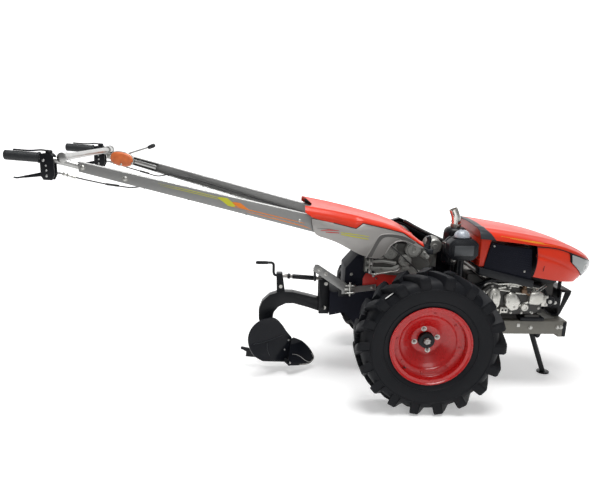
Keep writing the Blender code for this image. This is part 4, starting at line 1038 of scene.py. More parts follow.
small += [bar(eased([(0.53, -0.198, 0.472), (0.545, -0.204, 0.49), (0.59, -0.18, 0.512),
                     (0.612, -0.14, 0.5)], 0.01), 0.0022, 8),
          bar(eased([(0.522, -0.196, 0.476), (0.536, -0.206, 0.5), (0.575, -0.19, 0.52),
                     (0.6, -0.15, 0.512)], 0.01), 0.0022, 8)]
put("engine_bolts", joined(*small), zinc, "chassis")

# %% [markdown]
# Frame, guard and stand. The rails are folded channels, so their edges get a real bend
# radius, and bolts go through them to the engine's feet. The front guard and the stand are
# plain black steel.

# %% Rails, guard and stand
put("engine_rails", softened("engine_frame", 0.0026, 3), rail_grey, "chassis",
    ["engine_frame"])
RAIL_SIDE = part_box("engine_frame")[1].y  # the rails' outer face
rail_bolts = []
for x, z in ((0.305, 0.315), (0.535, 0.315), (0.66, 0.318), (0.676, 0.318), (0.235, 0.32)):
    for s in (1, -1):
        rail_bolts.append(hexagon((x, s * (RAIL_SIDE - 0.0002), z), (0, s, 0), 0.013, 0.006, x * 9,
                                  0.0095))
rail_bolts.append(block(0.47, 0.484, -RAIL_SIDE - 0.0016, -RAIL_SIDE + 0.0002, 0.318, 0.336,
                        0.0005))
for x, z in ((0.65, 0.414), (0.672, 0.414)):
    for s in (1, -1):
        rail_bolts.append(hexagon((x, s * 0.1198, z), (0, s, 0), 0.011, 0.006, 0.2, 0.0085))
put("frame_bolts", joined(*rail_bolts), zinc, "chassis")
rail_tip = both(block(0.684, 0.7008, RAIL_SIDE - 0.006, RAIL_SIDE + 0.001, 0.272, 0.344, 0.001))
put("rail_end_caps", rail_tip, black, "chassis")
guard_web = both(plate([(0.6925, 0.352), (0.7015, 0.352), (0.742, 0.458), (0.742, 0.47),
                        (0.716, 0.47)], 0.112, 0.119, 0.001))
put("front_guard_frame", joined(softened("front_guard", 0.0018), guard_web), black, "chassis",
    ["front_guard"])
put("stand_bracket_plate", softened("stand_bracket", 0.0012), black, "chassis",
    ["stand_bracket"])
put("stand_leg_tube", softened("stand_leg", 0.001, 2, 40), black, "stand",
    ["stand_leg"])

# %% [markdown]
# Exhaust and air cleaner. The muffler is a black drum with a lap seam and a clamp. Its tip is
# a polished pipe that bends back and is cut on a slant, open down to a dark throat. The air
# cleaner is an eight-sided black housing with a blank plate, a clamp, and a clear dome.

# %% Muffler and tip
drum = turned([(0, 0), (0, 0.044), (0.004, 0.048), (0.012, 0.055), (0.02, 0.0556),
               (0.086, 0.0548), (0.088, 0.056), (0.092, 0.056), (0.094, 0.0545),
               (0.15, 0.053), (0.16, 0.0515), (0.17, 0.046), (0.176, 0.038), (0.178, 0.02),
               (0.178, 0)], (0.19, -0.052, 0.59), (0, 0, 1), 48)
elbow = bar(eased([(0.19, -0.052, 0.6), (0.19, -0.052, 0.51), (0.232, -0.052, 0.495)], 0.03),
            0.018, 18)
seam = bar([(0.15, -0.092, 0.602), (0.15, -0.092, 0.752)], 0.0022, 8)
put("muffler_drum", joined(drum, elbow, seam), black, "chassis", ["muffler"])
PIPE_SIDES = 24


def open_pipe(path, radius, wall):
    """A pipe with a hollow end: its tube is pushed along a path and its end face sunk inwards."""
    bm = bar(path, radius, PIPE_SIDES)
    end = max((f for f in bm.faces if len(f.verts) == PIPE_SIDES),
              key=lambda f: (f.calc_center_median() - Vector(path[0])).length)
    bmesh.ops.inset_region(bm, faces=[end], thickness=wall, depth=0)
    way = (Vector(path[-1]) - Vector(path[-2])).normalized()
    pushed = bmesh.ops.extrude_face_region(bm, geom=[end])["geom"]
    moved = [g for g in pushed if isinstance(g, bmesh.types.BMVert)]
    bmesh.ops.translate(bm, vec=-way * radius * 1.4, verts=moved)
    if end.is_valid:
        bmesh.ops.delete(bm, geom=[end], context="FACES_ONLY")
    bmesh.ops.recalc_face_normals(bm, faces=bm.faces)
    return bm


tip = open_pipe(eased([(0.19, -0.052, 0.76), (0.19, -0.052, 0.795), (0.186, -0.052, 0.822),
                       (0.172, -0.052, 0.853)], 0.03, 6), 0.0205, 0.0018)
collar = turned([(0, 0.019), (0, 0.024), (0.003, 0.025), (0.01, 0.025), (0.013, 0.024),
                 (0.013, 0.019)], (0.19, -0.052, 0.77), (0, 0, 1), 32, closed=True)
clamp_ear = block(0.186, 0.194, -0.083, -0.072, 0.772, 0.781, 0.001)
put("exhaust_tip", tip, chrome, "chassis", smooth=50)
put("exhaust_clamp", joined(collar, clamp_ear, hexagon((0.194, -0.079, 0.7765), (1, 0, 0), 0.007,
                                                       0.004)), worn, "chassis")

# %% Air cleaner
body_edge = [(0.116, 0.664), (0.14, 0.641), (0.228, 0.641), (0.252, 0.664), (0.252, 0.716),
             (0.23, 0.738), (0.138, 0.738), (0.116, 0.716)]
cleaner = plate(body_edge, -0.215, -0.125, 0.005)
cleaner_rim = plate(shrunk(body_edge, -0.035, 0.184, 0.69), -0.15, -0.136, 0.002)
front_step = plate(shrunk(body_edge, 0.16, 0.184, 0.69), -0.2185, -0.214, 0.0015)
neck = turned([(0, 0), (0, 0.04), (0.004, 0.042), (0.01, 0.042), (0.012, 0.038), (0.012, 0)],
              (0.185, -0.17, 0.732), (0, 0, 1), 36)
inlet = bar(eased([(0.19, -0.165, 0.65), (0.19, -0.16, 0.56), (0.2, -0.14, 0.49),
                   (0.232, -0.132, 0.452)], 0.03), 0.016, 20)
clips = [bar(eased([(x, -0.132, 0.7), (x, -0.128, 0.712), (x, -0.162, 0.716), (x, -0.165, 0.69)],
                   0.006), 0.0022, 8) for x in (0.114, 0.254)]
put("air_cleaner_body", joined(cleaner, cleaner_rim, front_step, neck, inlet), plastic, "chassis",
    ["air_cleaner"], smooth=32)
dome = turned([(0, 0), (0, 0.035), (0.006, 0.0345), (0.016, 0.031), (0.024, 0.0245),
               (0.03, 0.015), (0.0325, 0.006), (0.033, 0)], (0.185, -0.17, 0.7442), (0, 0, 1), 40)
put("air_cleaner_dome", dome, dome_clear, "chassis", smooth=60)
wing = turned([(0, 0), (0, 0.0055), (0.006, 0.005), (0.008, 0)], (0.185, -0.17, 0.777),
              (0, 0, 1), 16)
put("air_cleaner_nut", wing, black, "chassis")
label = block(0.142, 0.228, -0.2195, -0.218, 0.664, 0.711, 0.0004)
put("air_cleaner_plate", label, plate_grey, "chassis")
bracket = joined(
    plate([(0.15, 0.642), (0.218, 0.642), (0.24, 0.6), (0.262, 0.594), (0.262, 0.584),
           (0.214, 0.584), (0.176, 0.612), (0.15, 0.618)], -0.15, -0.146, 0.0008),
    block(0.15, 0.218, -0.196, -0.146, 0.6375, 0.6412, 0.0008),
    bar(eased([(0.205, -0.15, 0.628), (0.25, -0.158, 0.596), (0.3, -0.17, 0.56),
               (0.33, -0.165, 0.54)], 0.02), 0.012, 16),
    *clips)
put("air_cleaner_bracket", bracket, worn, "chassis", smooth=40)
put("air_cleaner_bolts",
    joined(hexagon((0.232, -0.15, 0.602), (0, -1, 0), 0.011, 0.006, 0.2, 0.009),
           hexagon((0.166, -0.15, 0.628), (0, -1, 0), 0.01, 0.006, 0.5, 0.008)),
    zinc, "chassis")
print("engine side made")

# %% [markdown]
# Transmission. The casting is silver where the gears are, drawn there in a darker copy of the
# silver as painted shade, and painted nearly black below and behind. Faces are told apart by
# where they lie, and the two finishes share one piece. Round covers, a ring of bolts, the shift
# rods and the red guard plate go on its right side.

# %% Gearbox
gearbox = softened("gearbox", 0.005, 3, 30)
# Faces high and forward take the darker silver as painted shade; the rest take the near-black
# paint.
for f in gearbox.faces:
    c = f.calc_center_median()
    f.material_index = 0 if c.z > 0.585 and c.x > -0.262 else 1
put("gearbox_casting", gearbox, [case_silver_shaded, navy], "chassis", ["gearbox"], smooth=38)


def round_cover(x, z, radius, level, tall):
    """A bolted round cover on the casting's right side."""
    shape = turned([(-0.004, 0), (-0.004, radius), (tall * 0.5, radius),
                    (tall * 0.7, radius * 0.95),
                    (tall * 0.7, radius * 0.8), (tall, radius * 0.74), (tall, radius * 0.3),
                    (tall * 0.8, radius * 0.24), (tall * 0.8, 0)], (x, level, z), (0, -1, 0), 36)
    heads = []
    for k in range(4):
        a = 0.4 + 2 * math.pi * k / 4
        heads.append(hexagon((x + radius * 0.88 * math.sin(a), level - tall * 0.69,
                              z + radius * 0.88 * math.cos(a)), (0, -1, 0), 0.0065, 0.004, a))
    return shape, heads


silver_parts, gear_bolts = [], []
for x, z, r, y, tall in ((-0.026, 0.676, 0.037, -0.135, 0.018),
                         (-0.06, 0.622, 0.03, -0.1315, 0.024),
                         (-0.128, 0.66, 0.033, -0.1295, 0.01)):
    shape, heads = round_cover(x, z, r, y, tall)
    silver_parts.append(shape)
    gear_bolts += heads
silver_parts += [
    plate([(-0.24, 0.59), (-0.12, 0.585), (-0.086, 0.6), (-0.02, 0.588), (0.034, 0.56),
           (0.04, 0.545), (-0.06, 0.556), (-0.24, 0.566)], -0.128, -0.118, 0.003),
    bar(eased([(-0.235, -0.124, 0.612), (-0.16, -0.128, 0.618), (-0.1, -0.128, 0.606)], 0.02),
        0.009, 14),
    bar(eased([(-0.1, -0.124, 0.7), (-0.13, -0.125, 0.64), (-0.18, -0.124, 0.628)], 0.02),
        0.0055, 12),
    plate([(0.012, 0.64), (0.05, 0.616), (0.058, 0.64), (0.03, 0.668)], -0.124, -0.117, 0.002),
    block(-0.19, -0.13, -0.124, -0.119, 0.556, 0.578, 0.002),
]
put("gearbox_covers", joined(*silver_parts), case, "chassis", smooth=38)
for x, z in ((-0.22, 0.577), (-0.17, 0.577), (-0.11, 0.572), (-0.05, 0.568), (0.01, 0.56),
             (0.044, 0.628), (0.034, 0.654)):
    gear_bolts.append(hexagon((x, -0.1275, z), (0, -1, 0), 0.0085, 0.005, x * 30, 0.0062))
SIDE_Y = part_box("hitch_stay")[1].y  # the casting's lower side carries the hitch arm
for x, z in ((-0.3, 0.54), (-0.232, 0.6), (-0.06, 0.5), (0.06, 0.52), (0.12, 0.45),
             (-0.18, 0.52)):
    gear_bolts.append(hexagon((x, SIDE_Y - 0.0003, z), (0, -1, 0), 0.01, 0.006, x * 20, 0.0075))
put("gearbox_bolts", joined(*gear_bolts), zinc, "chassis")
red_side = plate([(-0.245, 0.52), (-0.232, 0.545), (-0.09, 0.59), (0.01, 0.56), (0.06, 0.5),
                  (0.06, 0.48), (-0.245, 0.48)], SIDE_Y - 0.0035, SIDE_Y - 0.0005, 0.0008)
put("gearbox_red_plate", red_side, crimson, "chassis")

# %% Shift rods and links
rods = [
    bar([(-0.226, -0.146, 0.64), (-0.226, -0.146, 0.576)], 0.0028, 12),
    bar([(-0.213, -0.146, 0.64), (-0.213, -0.146, 0.58)], 0.002, 10),
    turned([(0, 0), (0, 0.0075), (0.004, 0.009), (0.014, 0.009), (0.018, 0.007), (0.018, 0)],
           (-0.222, -0.146, 0.562), (0, 0, 1), 20),
    turned([(0, 0), (0, 0.007), (0.012, 0.007), (0.012, 0)], (-0.216, -0.146, 0.604), (0, 0, 1),
           18),
    bar(eased([(-0.222, -0.146, 0.566), (-0.206, -0.15, 0.556), (-0.094, -0.146, 0.574),
               (-0.08, -0.136, 0.584)], 0.01), 0.0034, 12),
    turned([(0, 0), (0, 0.006), (0.016, 0.006), (0.016, 0)], (-0.206, -0.15, 0.556), (1, 0, 0.15),
           18),
    turned([(0, 0), (0, 0.0075), (0.008, 0.0075), (0.008, 0)], (-0.205, -0.1545, 0.547), (0, 0, 1),
           18),
    bar([(-0.08, -0.131, 0.584), (-0.08, -0.139, 0.584)], 0.008, 18),
]
put("shift_rods", joined(*rods), worn, "chassis", smooth=45)
strap = plate([(-0.242, 0.64), (-0.196, 0.64), (-0.196, 0.632), (-0.242, 0.632)], -0.15, -0.142,
              0.001)
bell_crank = plate([(-0.236, 0.582), (-0.2, 0.57), (-0.192, 0.556), (-0.204, 0.548),
                    (-0.236, 0.562)],
                   -0.1425, -0.1385, 0.001)
post = block(-0.232, -0.22, -0.14, -0.115, 0.564, 0.576, 0.0015)
put("shift_bracket", joined(strap, bell_crank, post), black, "chassis")
gear_cable = bar(eased([(-0.155, -0.145, 0.712), (-0.1, -0.158, 0.668), (-0.05, -0.162, 0.622),
                        (-0.01, -0.15, 0.586), (0.006, -0.13, 0.566)], 0.05, 6), 0.003, 10)
put("gearbox_cable", gear_cable, cable_black, "chassis", smooth=60)
neck_parts = [
    turned([(0, 0), (0, 0.026), (0.012, 0.03), (0.026, 0.03), (0.03, 0.02), (0.046, 0.018),
            (0.046, 0)], (0.045, -0.06, 0.64), (0.35, 0, 1), 26),
    bar(eased([(0.055, -0.06, 0.664), (0.07, -0.06, 0.705), (0.062, -0.06, 0.724)], 0.02), 0.011,
        16),
    block(0.052, 0.084, -0.09, -0.03, 0.64, 0.664, 0.004),
]
put("gearbox_filler", joined(*neck_parts), slate, "chassis", smooth=40)

# %% [markdown]
# Belt drive. The clutch pulley, belt and guard sit on the left side. The guard is a shallow
# pressed pan, so its edge is rounded, and a raised band follows its outline.

# %% Pulley, belt and guard
put("clutch_pulley_wheel", softened("clutch_pulley", 0.0016, 2, 40), steel, "chassis",
    ["clutch_pulley"], smooth=40)
dressed("drive_belt", rubber)
guard_edge = [(-0.14, 0.6), (-0.135, 0.69), (-0.087, 0.748), (-0.02, 0.767), (0.04, 0.742),
              (0.085, 0.715), (0.3, 0.617), (0.42, 0.585), (0.475, 0.545), (0.5, 0.48),
              (0.485, 0.405), (0.44, 0.36), (0.36, 0.36), (0.29, 0.385), (0.02, 0.545),
              (-0.08, 0.56)]
band_path = [(x + (0.17 - x) * 0.1, 0.24, z + (0.56 - z) * 0.12) for x, z in guard_edge]
band_path.append(band_path[0])
guard_shapes = [softened("belt_guard", 0.003, 3, 30), bar(eased(band_path, 0.03, 4), 0.0045, 10)]
put("belt_guard_pan", joined(*guard_shapes), black, "chassis", ["belt_guard"],
    smooth=40)
guard_bolts = [hexagon((x, 0.2398, z), (0, 1, 0), 0.011, 0.006, x * 10, 0.009)
               for x, z in ((-0.11, 0.64), (0.02, 0.735), (0.3, 0.59), (0.46, 0.47),
                            (0.36, 0.38), (0.02, 0.56))]
put("belt_guard_bolts", joined(*guard_bolts), zinc, "chassis")
drum = turned([(0, 0), (0, 0.034), (0.004, 0.038), (0.03, 0.038), (0.034, 0.041), (0.044, 0.041),
               (0.048, 0.038), (0.09, 0.037), (0.096, 0.03), (0.096, 0.014), (0.102, 0.012),
               (0.102, 0)], (0.104, 0.06, 0.668), (0, -1, 0), 40)
drum_foot = block(0.084, 0.124, -0.01, 0.03, 0.56, 0.64, 0.004)
put("dynamo", joined(drum, drum_foot), case, "chassis", smooth=40)
hose = bar(eased([(-0.01, 0.15, 0.764), (0.06, 0.14, 0.725), (0.15, 0.1, 0.685),
                  (0.26, 0.06, 0.64), (0.262, 0.06, 0.61)], 0.06, 6), 0.0075, 14)
put("engine_hose", hose, cable_black, "chassis", smooth=60)
print("transmission made")

# %% [markdown]
# Cover over the clutch. The red top has a ridge each side and a shallow valley between,
# ending at the rear in two lobes with a notch. Below it, a grey side panel carries a pressed
# channel that runs up from its lower edge and forward over the gearbox; the channel is a flat
# strip in a darker grey, as painted shade in the recess.

# %% Red top
COVER = [(-0.535, 0.838, 0.884), (-0.405, 0.809, 0.86), (-0.3, 0.781, 0.836),
         (-0.27, 0.805, 0.829), (-0.16, 0.779, 0.8), (-0.08, 0.757, 0.771),
         (-0.03, 0.722, 0.743), (0.022, 0.688, 0.702)]


def cover_y(x):
    """Half of the cover's width at X."""
    return 0.15 - 0.105 * x


def straight(rows, x):
    """Each later number of the rows at a distance X, straight from row to row."""
    for a, b in zip(rows, rows[1:]):
        if x <= b[0]:
            break
    f = min(max((x - a[0]) / (b[0] - a[0]), 0.0), 1.0)
    return [p + (q - p) * f for p, q in zip(a[1:], b[1:])]


LOBE = 0.14  # how much of the length the rear lobes take


def cover_at(u, v):
    """A point of the red top: u from the rear forward, v from left to right."""
    s = 1 - 2 * v
    m = abs(s)
    x = COVER[0][0] + 0.557 * u
    edge = straight(COVER, x)[0]
    low, high = straight(COVER, x - 0.012), straight(COVER, x + 0.012)
    ridge = (low[1] + high[1]) / 2
    w = cover_y(x)
    rows = [(0.0, ridge - 0.0075), (w * 0.35, ridge - 0.007), (w - 0.05, ridge - 0.0015),
            (w - 0.03, ridge + 0.0005), (w - 0.01, ridge - 0.3 * (ridge - edge)),
            (w - 0.002, ridge - 0.62 * (ridge - edge)), (w, edge)]
    y, z = through(rows, m)
    if u < LOBE:
        lobe = (1 - u / LOBE) ** 1.5
        valley = max(0.0, 1 - (m / 0.42) ** 2)
        x += 0.04 * lobe * valley
        z -= 0.004 * lobe * valley
        x += 0.03 * lobe * max(0.0, (m - 0.8) / 0.2)
    return Vector((x, math.copysign(y, s), z))


put("cover_top_shell", panel(cover_at, 84, 60, 0.003), red, "chassis",
    ["cover_top"], smooth=45)
# A dark sheet just under the red top, as painted shade inside the cover.
shade = panel(lambda u, v: cover_at(u * 0.955 + 0.03, v * 0.94 + 0.03) - Vector((0, 0, 0.0045)),
              50, 40, 0.0015, 0.0)
put("cover_top_shade_sheet", shade, slate, "chassis", smooth=50)

# %% Grey sides
PANEL_LOW = [(0.022, 0.682), (-0.016, 0.688), (-0.048, 0.708), (-0.079, 0.718), (-0.114, 0.714),
             (-0.142, 0.69), (-0.158, 0.662), (-0.177, 0.643), (-0.199, 0.637), (-0.235, 0.643),
             (-0.286, 0.662), (-0.334, 0.689), (-0.382, 0.716), (-0.427, 0.734), (-0.484, 0.752),
             (-0.499, 0.78), (-0.506, 0.829)]
panel_edge = [(x, z - 0.0008) for x, z, _ in COVER[1:]]
upper = []
for (xa, za), (xb, zb) in zip(panel_edge, panel_edge[1:]):
    steps = max(1, round(abs(xb - xa) / 0.03))
    upper += [(xa + (xb - xa) * i / steps, za + (zb - za) * i / steps) for i in range(steps)]
upper.append(panel_edge[-1])


def smooth_outline(points):
    """Corners eased, twice over, by taking points a quarter of the way along each edge."""
    for _ in range(2):
        new = [points[0]]
        for a, b in zip(points, points[1:]):
            new += [(a[0] * 0.75 + b[0] * 0.25, a[1] * 0.75 + b[1] * 0.25),
                    (a[0] * 0.25 + b[0] * 0.75, a[1] * 0.25 + b[1] * 0.75)]
        points = new + [points[-1]]
    return points


low_edge = smooth_outline(PANEL_LOW)
outline = upper + low_edge[1:]
sheet = plate(outline, -0.1515, -0.146, 0.002, 0.105)
button = mirror_y(turned([(0, 0), (0, 0.01), (0.0135, 0.01), (0.0135, 0)],
                         (-0.42, 0.1812, 0.768), (0, 1, 0), 16))
put("cover_side_panel_right", joined(sheet, button), grey, "chassis",
    ["cover_side_right"])
left_outline = [(x, z) for x, z in outline if x < -0.15]
sheet = plate(left_outline, 0.146, 0.1515, 0.002, -0.105)
put("cover_side_panel_left", sheet, grey, "chassis", ["cover_side_left"])

CHANNEL_OUT = [(-0.018, 0.712), (-0.06, 0.738), (-0.106, 0.751), (-0.171, 0.755), (-0.195, 0.745),
               (-0.213, 0.711), (-0.236, 0.666), (-0.25, 0.643)]
CHANNEL_IN = [(-0.034, 0.699), (-0.079, 0.723), (-0.12, 0.737), (-0.165, 0.74), (-0.184, 0.725),
              (-0.207, 0.68), (-0.22, 0.648)]
# A darker grey for the pressed channel, as painted shade in its recess.
channel_shade_grey = finish("channel_shade_grey", (0.115, 0.112, 0.108), (0.085, 0.083, 0.08), 0.42, metal=0.3,
                     grain=0.00002, grain_scale=700.0)
outer_line, inner_line = smooth_outline(CHANNEL_OUT), smooth_outline(CHANNEL_IN)


def channel(u, v):
    a, b = straight_row(outer_line, u), straight_row(inner_line, u)
    x, z = a[0] + (b[0] - a[0]) * v, a[1] + (b[1] - a[1]) * v
    return Vector((x, -(cover_y(x) + 0.0021), z))


put("cover_channel", panel(channel, 60, 5, 0.0008, 0.0), channel_shade_grey, "chassis")
seam_line = []
for (xa, za), (xb, zb) in zip(panel_edge, panel_edge[1:]):
    seam_line += [(xa + (xb - xa) * i / 4, za + (zb - za) * i / 4) for i in range(4)]
seam_line.append(panel_edge[-1])
seam_bar = bar([(x, -(cover_y(x) + 0.0008), z + 0.0006) for x, z in seam_line], 0.0017, 8)
put("cover_seam", both(seam_bar), black, "chassis", smooth=60)
lips = []
for line, radius in ((outer_line, 0.0022), (inner_line, 0.0018)):
    run = [straight_row(line, i / 40) for i in range(41)]
    lips.append(bar([(x, -(cover_y(x) + 0.0015), z) for x, z in run], radius, 8))
arch = smooth_outline([(-0.156, 0.661), (-0.142, 0.691), (-0.114, 0.715), (-0.079, 0.7195),
                       (-0.048, 0.71), (-0.014, 0.69)])
arch_lip = bar([(x, -(cover_y(x) + 0.001), z + 0.003) for x, z in arch], 0.0028, 8)
put("cover_ridges", joined(*lips, arch_lip), grey, "chassis", smooth=60)


def flat_strip(name, colour, points, plane=cover_y, lift=0.0022):
    """A thin vinyl strip on both upright sides. points are (X, Z above, Z below)."""
    strips = []
    for s in (1, -1):
        def surface(u, v, s=s):
            x, za, zb = straight_row(points, u)
            return Vector((x, s * (plane(x) + lift), za + (zb - za) * v))
        strips.append(panel(surface, 4 * len(points), 2, FILM, 0.0))
    put(name, joined(*strips), colour, "chassis")


for name, colour, points in (
        ("cover_stroke_red_a", crimson,
         [(-0.464, 0.776, 0.774), (-0.43, 0.78, 0.7745), (-0.379, 0.774, 0.772)]),
        ("cover_stroke_red_b", crimson,
         [(-0.44, 0.769, 0.766), (-0.42, 0.768, 0.764), (-0.379, 0.764, 0.761)]),
        ("cover_stroke_lime_a", lime,
         [(-0.371, 0.765, 0.762), (-0.33, 0.7605, 0.756), (-0.24, 0.745, 0.742)]),
        ("cover_stroke_lime_b", lime,
         [(-0.369, 0.758, 0.754), (-0.33, 0.751, 0.7455), (-0.241, 0.733, 0.729)]),
        ("cover_stroke_grey", plate_grey,
         [(-0.48, 0.786, 0.785), (-0.43, 0.7835, 0.782), (-0.4, 0.78, 0.7795)])):
    flat_strip(name, colour, points)
print("cover made")

# %% [markdown]
# Handle beams. Each beam is a folded channel, open towards the middle, that tapers and rises
# towards the hands. Its outer bends are rounded, its upward faces take a lighter copy of its
# finish as a painted highlight of the light from above, and long vinyl stripes run along its side.

# %% Beams and yoke
def beam_outer(x):
    """How far out the beam's side stands at X."""
    return 0.1147 - 0.1545 * x


def beam_top(x):
    return 0.845 - 0.249 * (x + 0.51)


def beam_bottom(x):
    return 0.77 - 0.282 * (x + 0.51)


def at_height(x, part):
    """The height of a point on the beam's side, part of the way up from its lower edge."""
    return beam_bottom(x) + part * (beam_top(x) - beam_bottom(x))


# A lighter copy of the beam finish: painted highlight for the faces that look up.
beam_top_highlight = finish("beam_top_painted_highlight", (0.52, 0.52, 0.51), (0.4, 0.4, 0.39), 0.28, metal=0.7,
                     grain=0.00002, grain_scale=700.0, patch=5.0)
for side in ("left", "right"):
    beam = softened("handle_beam_" + side, 0.0022, 3, 40)
    # Faces that look up take the lighter copy, as a painted highlight.
    for f in beam.faces:
        f.material_index = 1 if f.normal.z > 0.6 else 0
    put("handle_channel_" + side, beam, [beam_silver, beam_top_highlight], "chassis",
        ["handle_beam_" + side], smooth=38)
put("handle_yoke_box", softened("handle_yoke", 0.004, 3), rail_grey, "chassis",
    ["handle_yoke"])
beam_bolts = []
for x, part, size in ((-1.312, 0.43, 0.018), (-1.483, 0.5, 0.018), (-0.56, 0.5, 0.01)):
    for s in (1, -1):
        y = beam_outer(x)
        beam_bolts.append(dome_bolt((x, s * (y - 0.0004), at_height(x, part)),
                                    (0.152, s, 0), size * 0.56, 0.006))
        beam_bolts.append(turned([(-0.0005, 0), (-0.0005, size * 0.75), (0.0014, size * 0.75),
                                  (0.0014, 0)], (x, s * (y - 0.0002), at_height(x, part)),
                                 (0.152, s, 0), 22))
put("beam_bolts", joined(*beam_bolts), zinc, "chassis")


BEAM_STRIPS = [  # (name, finish, rows of (X, part of the height above, part below))
    ("beam_stripe_lime_top", lime, [(-1.176, 0.735, 0.725), (-1.09, 0.765, 0.73),
                                    (-1.008, 0.79, 0.745), (-0.916, 0.76, 0.725)]),
    ("beam_stripe_lime_low", lime, [(-1.168, 0.605, 0.595), (-1.09, 0.635, 0.6),
                                    (-1.008, 0.66, 0.615), (-0.923, 0.63, 0.595)]),
    ("beam_leaf_lime", lime, [(-0.923, 0.76, 0.66), (-0.901, 0.82, 0.52), (-0.881, 0.84, 0.32),
                              (-0.862, 0.65, 0.3), (-0.848, 0.43, 0.37)]),
    ("beam_flame_amber", amber, [(-0.862, 0.64, 0.56), (-0.846, 0.69, 0.44),
                                 (-0.824, 0.71, 0.38), (-0.801, 0.51, 0.385),
                                 (-0.79, 0.42, 0.39)]),
    ("beam_stripe_amber_top", amber, [(-0.862, 0.345, 0.325), (-0.798, 0.405, 0.35),
                                      (-0.66, 0.42, 0.365), (-0.538, 0.415, 0.385)]),
    ("beam_stripe_amber_low", amber, [(-0.798, 0.24, 0.215), (-0.66, 0.245, 0.19),
                                      (-0.538, 0.235, 0.185), (-0.507, 0.145, 0.13)]),
]
for name, colour, rows in BEAM_STRIPS:
    points = [(x, at_height(x, a), at_height(x, b)) for x, a, b in rows]
    flat_strip(name, colour, points, beam_outer, 0.0003)
print("beams made")

# %% [markdown]
# Handlebar. Polished tubes carry the grips, with a thicker cross tube.
# Each grip is moulded rubber: a flange, rows of fine ribs and a rounded end.

# %% Tubes
GRIP_END, HANDLE_Y = -1.8, 0.363
tube_path = [(-1.3, beam_outer(-1.3) - 0.019, at_height(-1.3, 0.5)),
             (-1.5, beam_outer(-1.5) - 0.019, at_height(-1.5, 0.5)),
             (-1.56, 0.344, 1.089), (-1.64, HANDLE_Y, 1.108),
             (GRIP_END + 0.005, HANDLE_Y, 1.12)]
left_tube = bar(eased(tube_path, 0.03, 6), 0.0142, 24)
cross = bar([(-1.56, -0.35, 1.108), (-1.56, 0.35, 1.108)], 0.0145, 28)
sleeves = both(bar([(-1.56, 0.3, 1.108), (-1.56, 0.356, 1.108)], 0.019, 32))
webs = both(joined(block(-1.572, -1.548, 0.325, 0.352, 1.08, 1.108, 0.004),
                   turned([(0, 0), (0, 0.0205), (0.004, 0.0215), (0.01, 0.0215), (0.012, 0.019),
                           (0.012, 0)], (-1.56, 0.352, 1.108), (0, 1, 0), 26)))
put("handlebar_tubes", joined(left_tube, mirror_y(left_tube), cross, sleeves, webs), steel,
    "chassis", ["handlebar"], smooth=45)

# %% Grips
grip_start = Vector((-1.65, HANDLE_Y, 1.108 + 0.012 * 0.01 / 0.155))
grip_way = (Vector((GRIP_END, HANDLE_Y, 1.1205)) - grip_start).normalized()
grip_long = (GRIP_END - grip_start.x) / grip_way.x
profile = [(0.002, 0.0146), (0.0, 0.018), (0.001, 0.0225), (0.0045, 0.0235), (0.008, 0.0225),
           (0.0095, 0.0198)]
RIB, VALLEY = 0.0052, 0.0008
place = 0.012
while place < grip_long - 0.016:
    profile += [(place, 0.0196), (place + 0.0012, 0.0206), (place + 0.0036, 0.0206),
                (place + 0.0046, 0.0196)]
    place += RIB + VALLEY
profile += [(grip_long - 0.008, 0.0205), (grip_long - 0.003, 0.0198), (grip_long - 0.0006, 0.0165),
            (grip_long, 0.012), (grip_long, 0), (grip_long - 0.0045, 0),
            (grip_long - 0.0045, 0.0146)]
grip_shape = turned(profile, grip_start, grip_way, 36)
for side, made in (("left", grip_shape.copy()), ("right", mirror_y(grip_shape))):
    put("grip_rubber_" + side, made, grip_black, "chassis", ["grip_" + side],
        smooth=45)
grip_shape.free()

# %% [markdown]
# Levers. Each steering lever turns in a bracket clamped under the tube: two cheeks with a row
# of bolts, and a flat blade that thins and curls towards its end. A second small lever lies
# over the grip on its own clamp.

# %% Lever brackets and blades
cheek_edge = [(-1.648, 1.034), (-1.638, 1.018), (-1.602, 1.016), (-1.59, 1.038), (-1.59, 1.116),
              (-1.6, 1.126), (-1.646, 1.126)]
cheeks = [plate(cheek_edge, y0, y1, 0.0016) for y0, y1 in ((0.343, 0.35), (0.376, 0.383))]
web = plate([(-1.644, 1.04), (-1.634, 1.022), (-1.606, 1.022), (-1.596, 1.04), (-1.596, 1.088),
             (-1.644, 1.092)], 0.349, 0.377, 0.0015)
collar = turned([(0, 0.0146), (0, 0.0225), (0.004, 0.0235), (0.018, 0.0235), (0.022, 0.0225),
                 (0.022, 0.0146)], (-1.607, 0.355, 1.101), (-0.97, 0.05, 0.16), 30, closed=True)
blade_path = [(-1.622, 0.363, 1.04), (-1.65, 0.363, 1.04), (-1.69, 0.363, 1.034),
              (-1.73, 0.363, 1.029), (-1.758, 0.363, 1.0245), (-1.771, 0.363, 1.0275)]
blade_curve = eased(blade_path, 0.02, 4)
blade = bar(blade_curve, 0.008, 16, [0.0105 - 0.007 * min(1.0, i / 15)
                                     for i in range(len(blade_curve))], 0.75)
mount = block(-1.632, -1.596, 0.35, 0.376, 1.112, 1.1275, 0.003)
knuckle = [
    turned([(0, 0), (0, 0.012), (0.004, 0.014), (0.012, 0.014), (0.016, 0.01), (0.016, 0)],
           (-1.612, 0.363, 1.124), (0.1, 0, 1), 24),
    bar(eased([(-1.608, 0.363, 1.134), (-1.64, 0.363, 1.1405), (-1.69, 0.363, 1.1365),
               (-1.76, 0.363, 1.142)], 0.03), 0.0036, 10, flat=1.2),
]
lever_shape = joined(*cheeks, web, collar, blade, mount, *knuckle)
for side, made in (("left", lever_shape.copy()), ("right", mirror_y(lever_shape))):
    put("lever_bracket_" + side, made, black, "chassis", ["steering_lever_" + side],
        smooth=40)
lever_shape.free()
pins = []
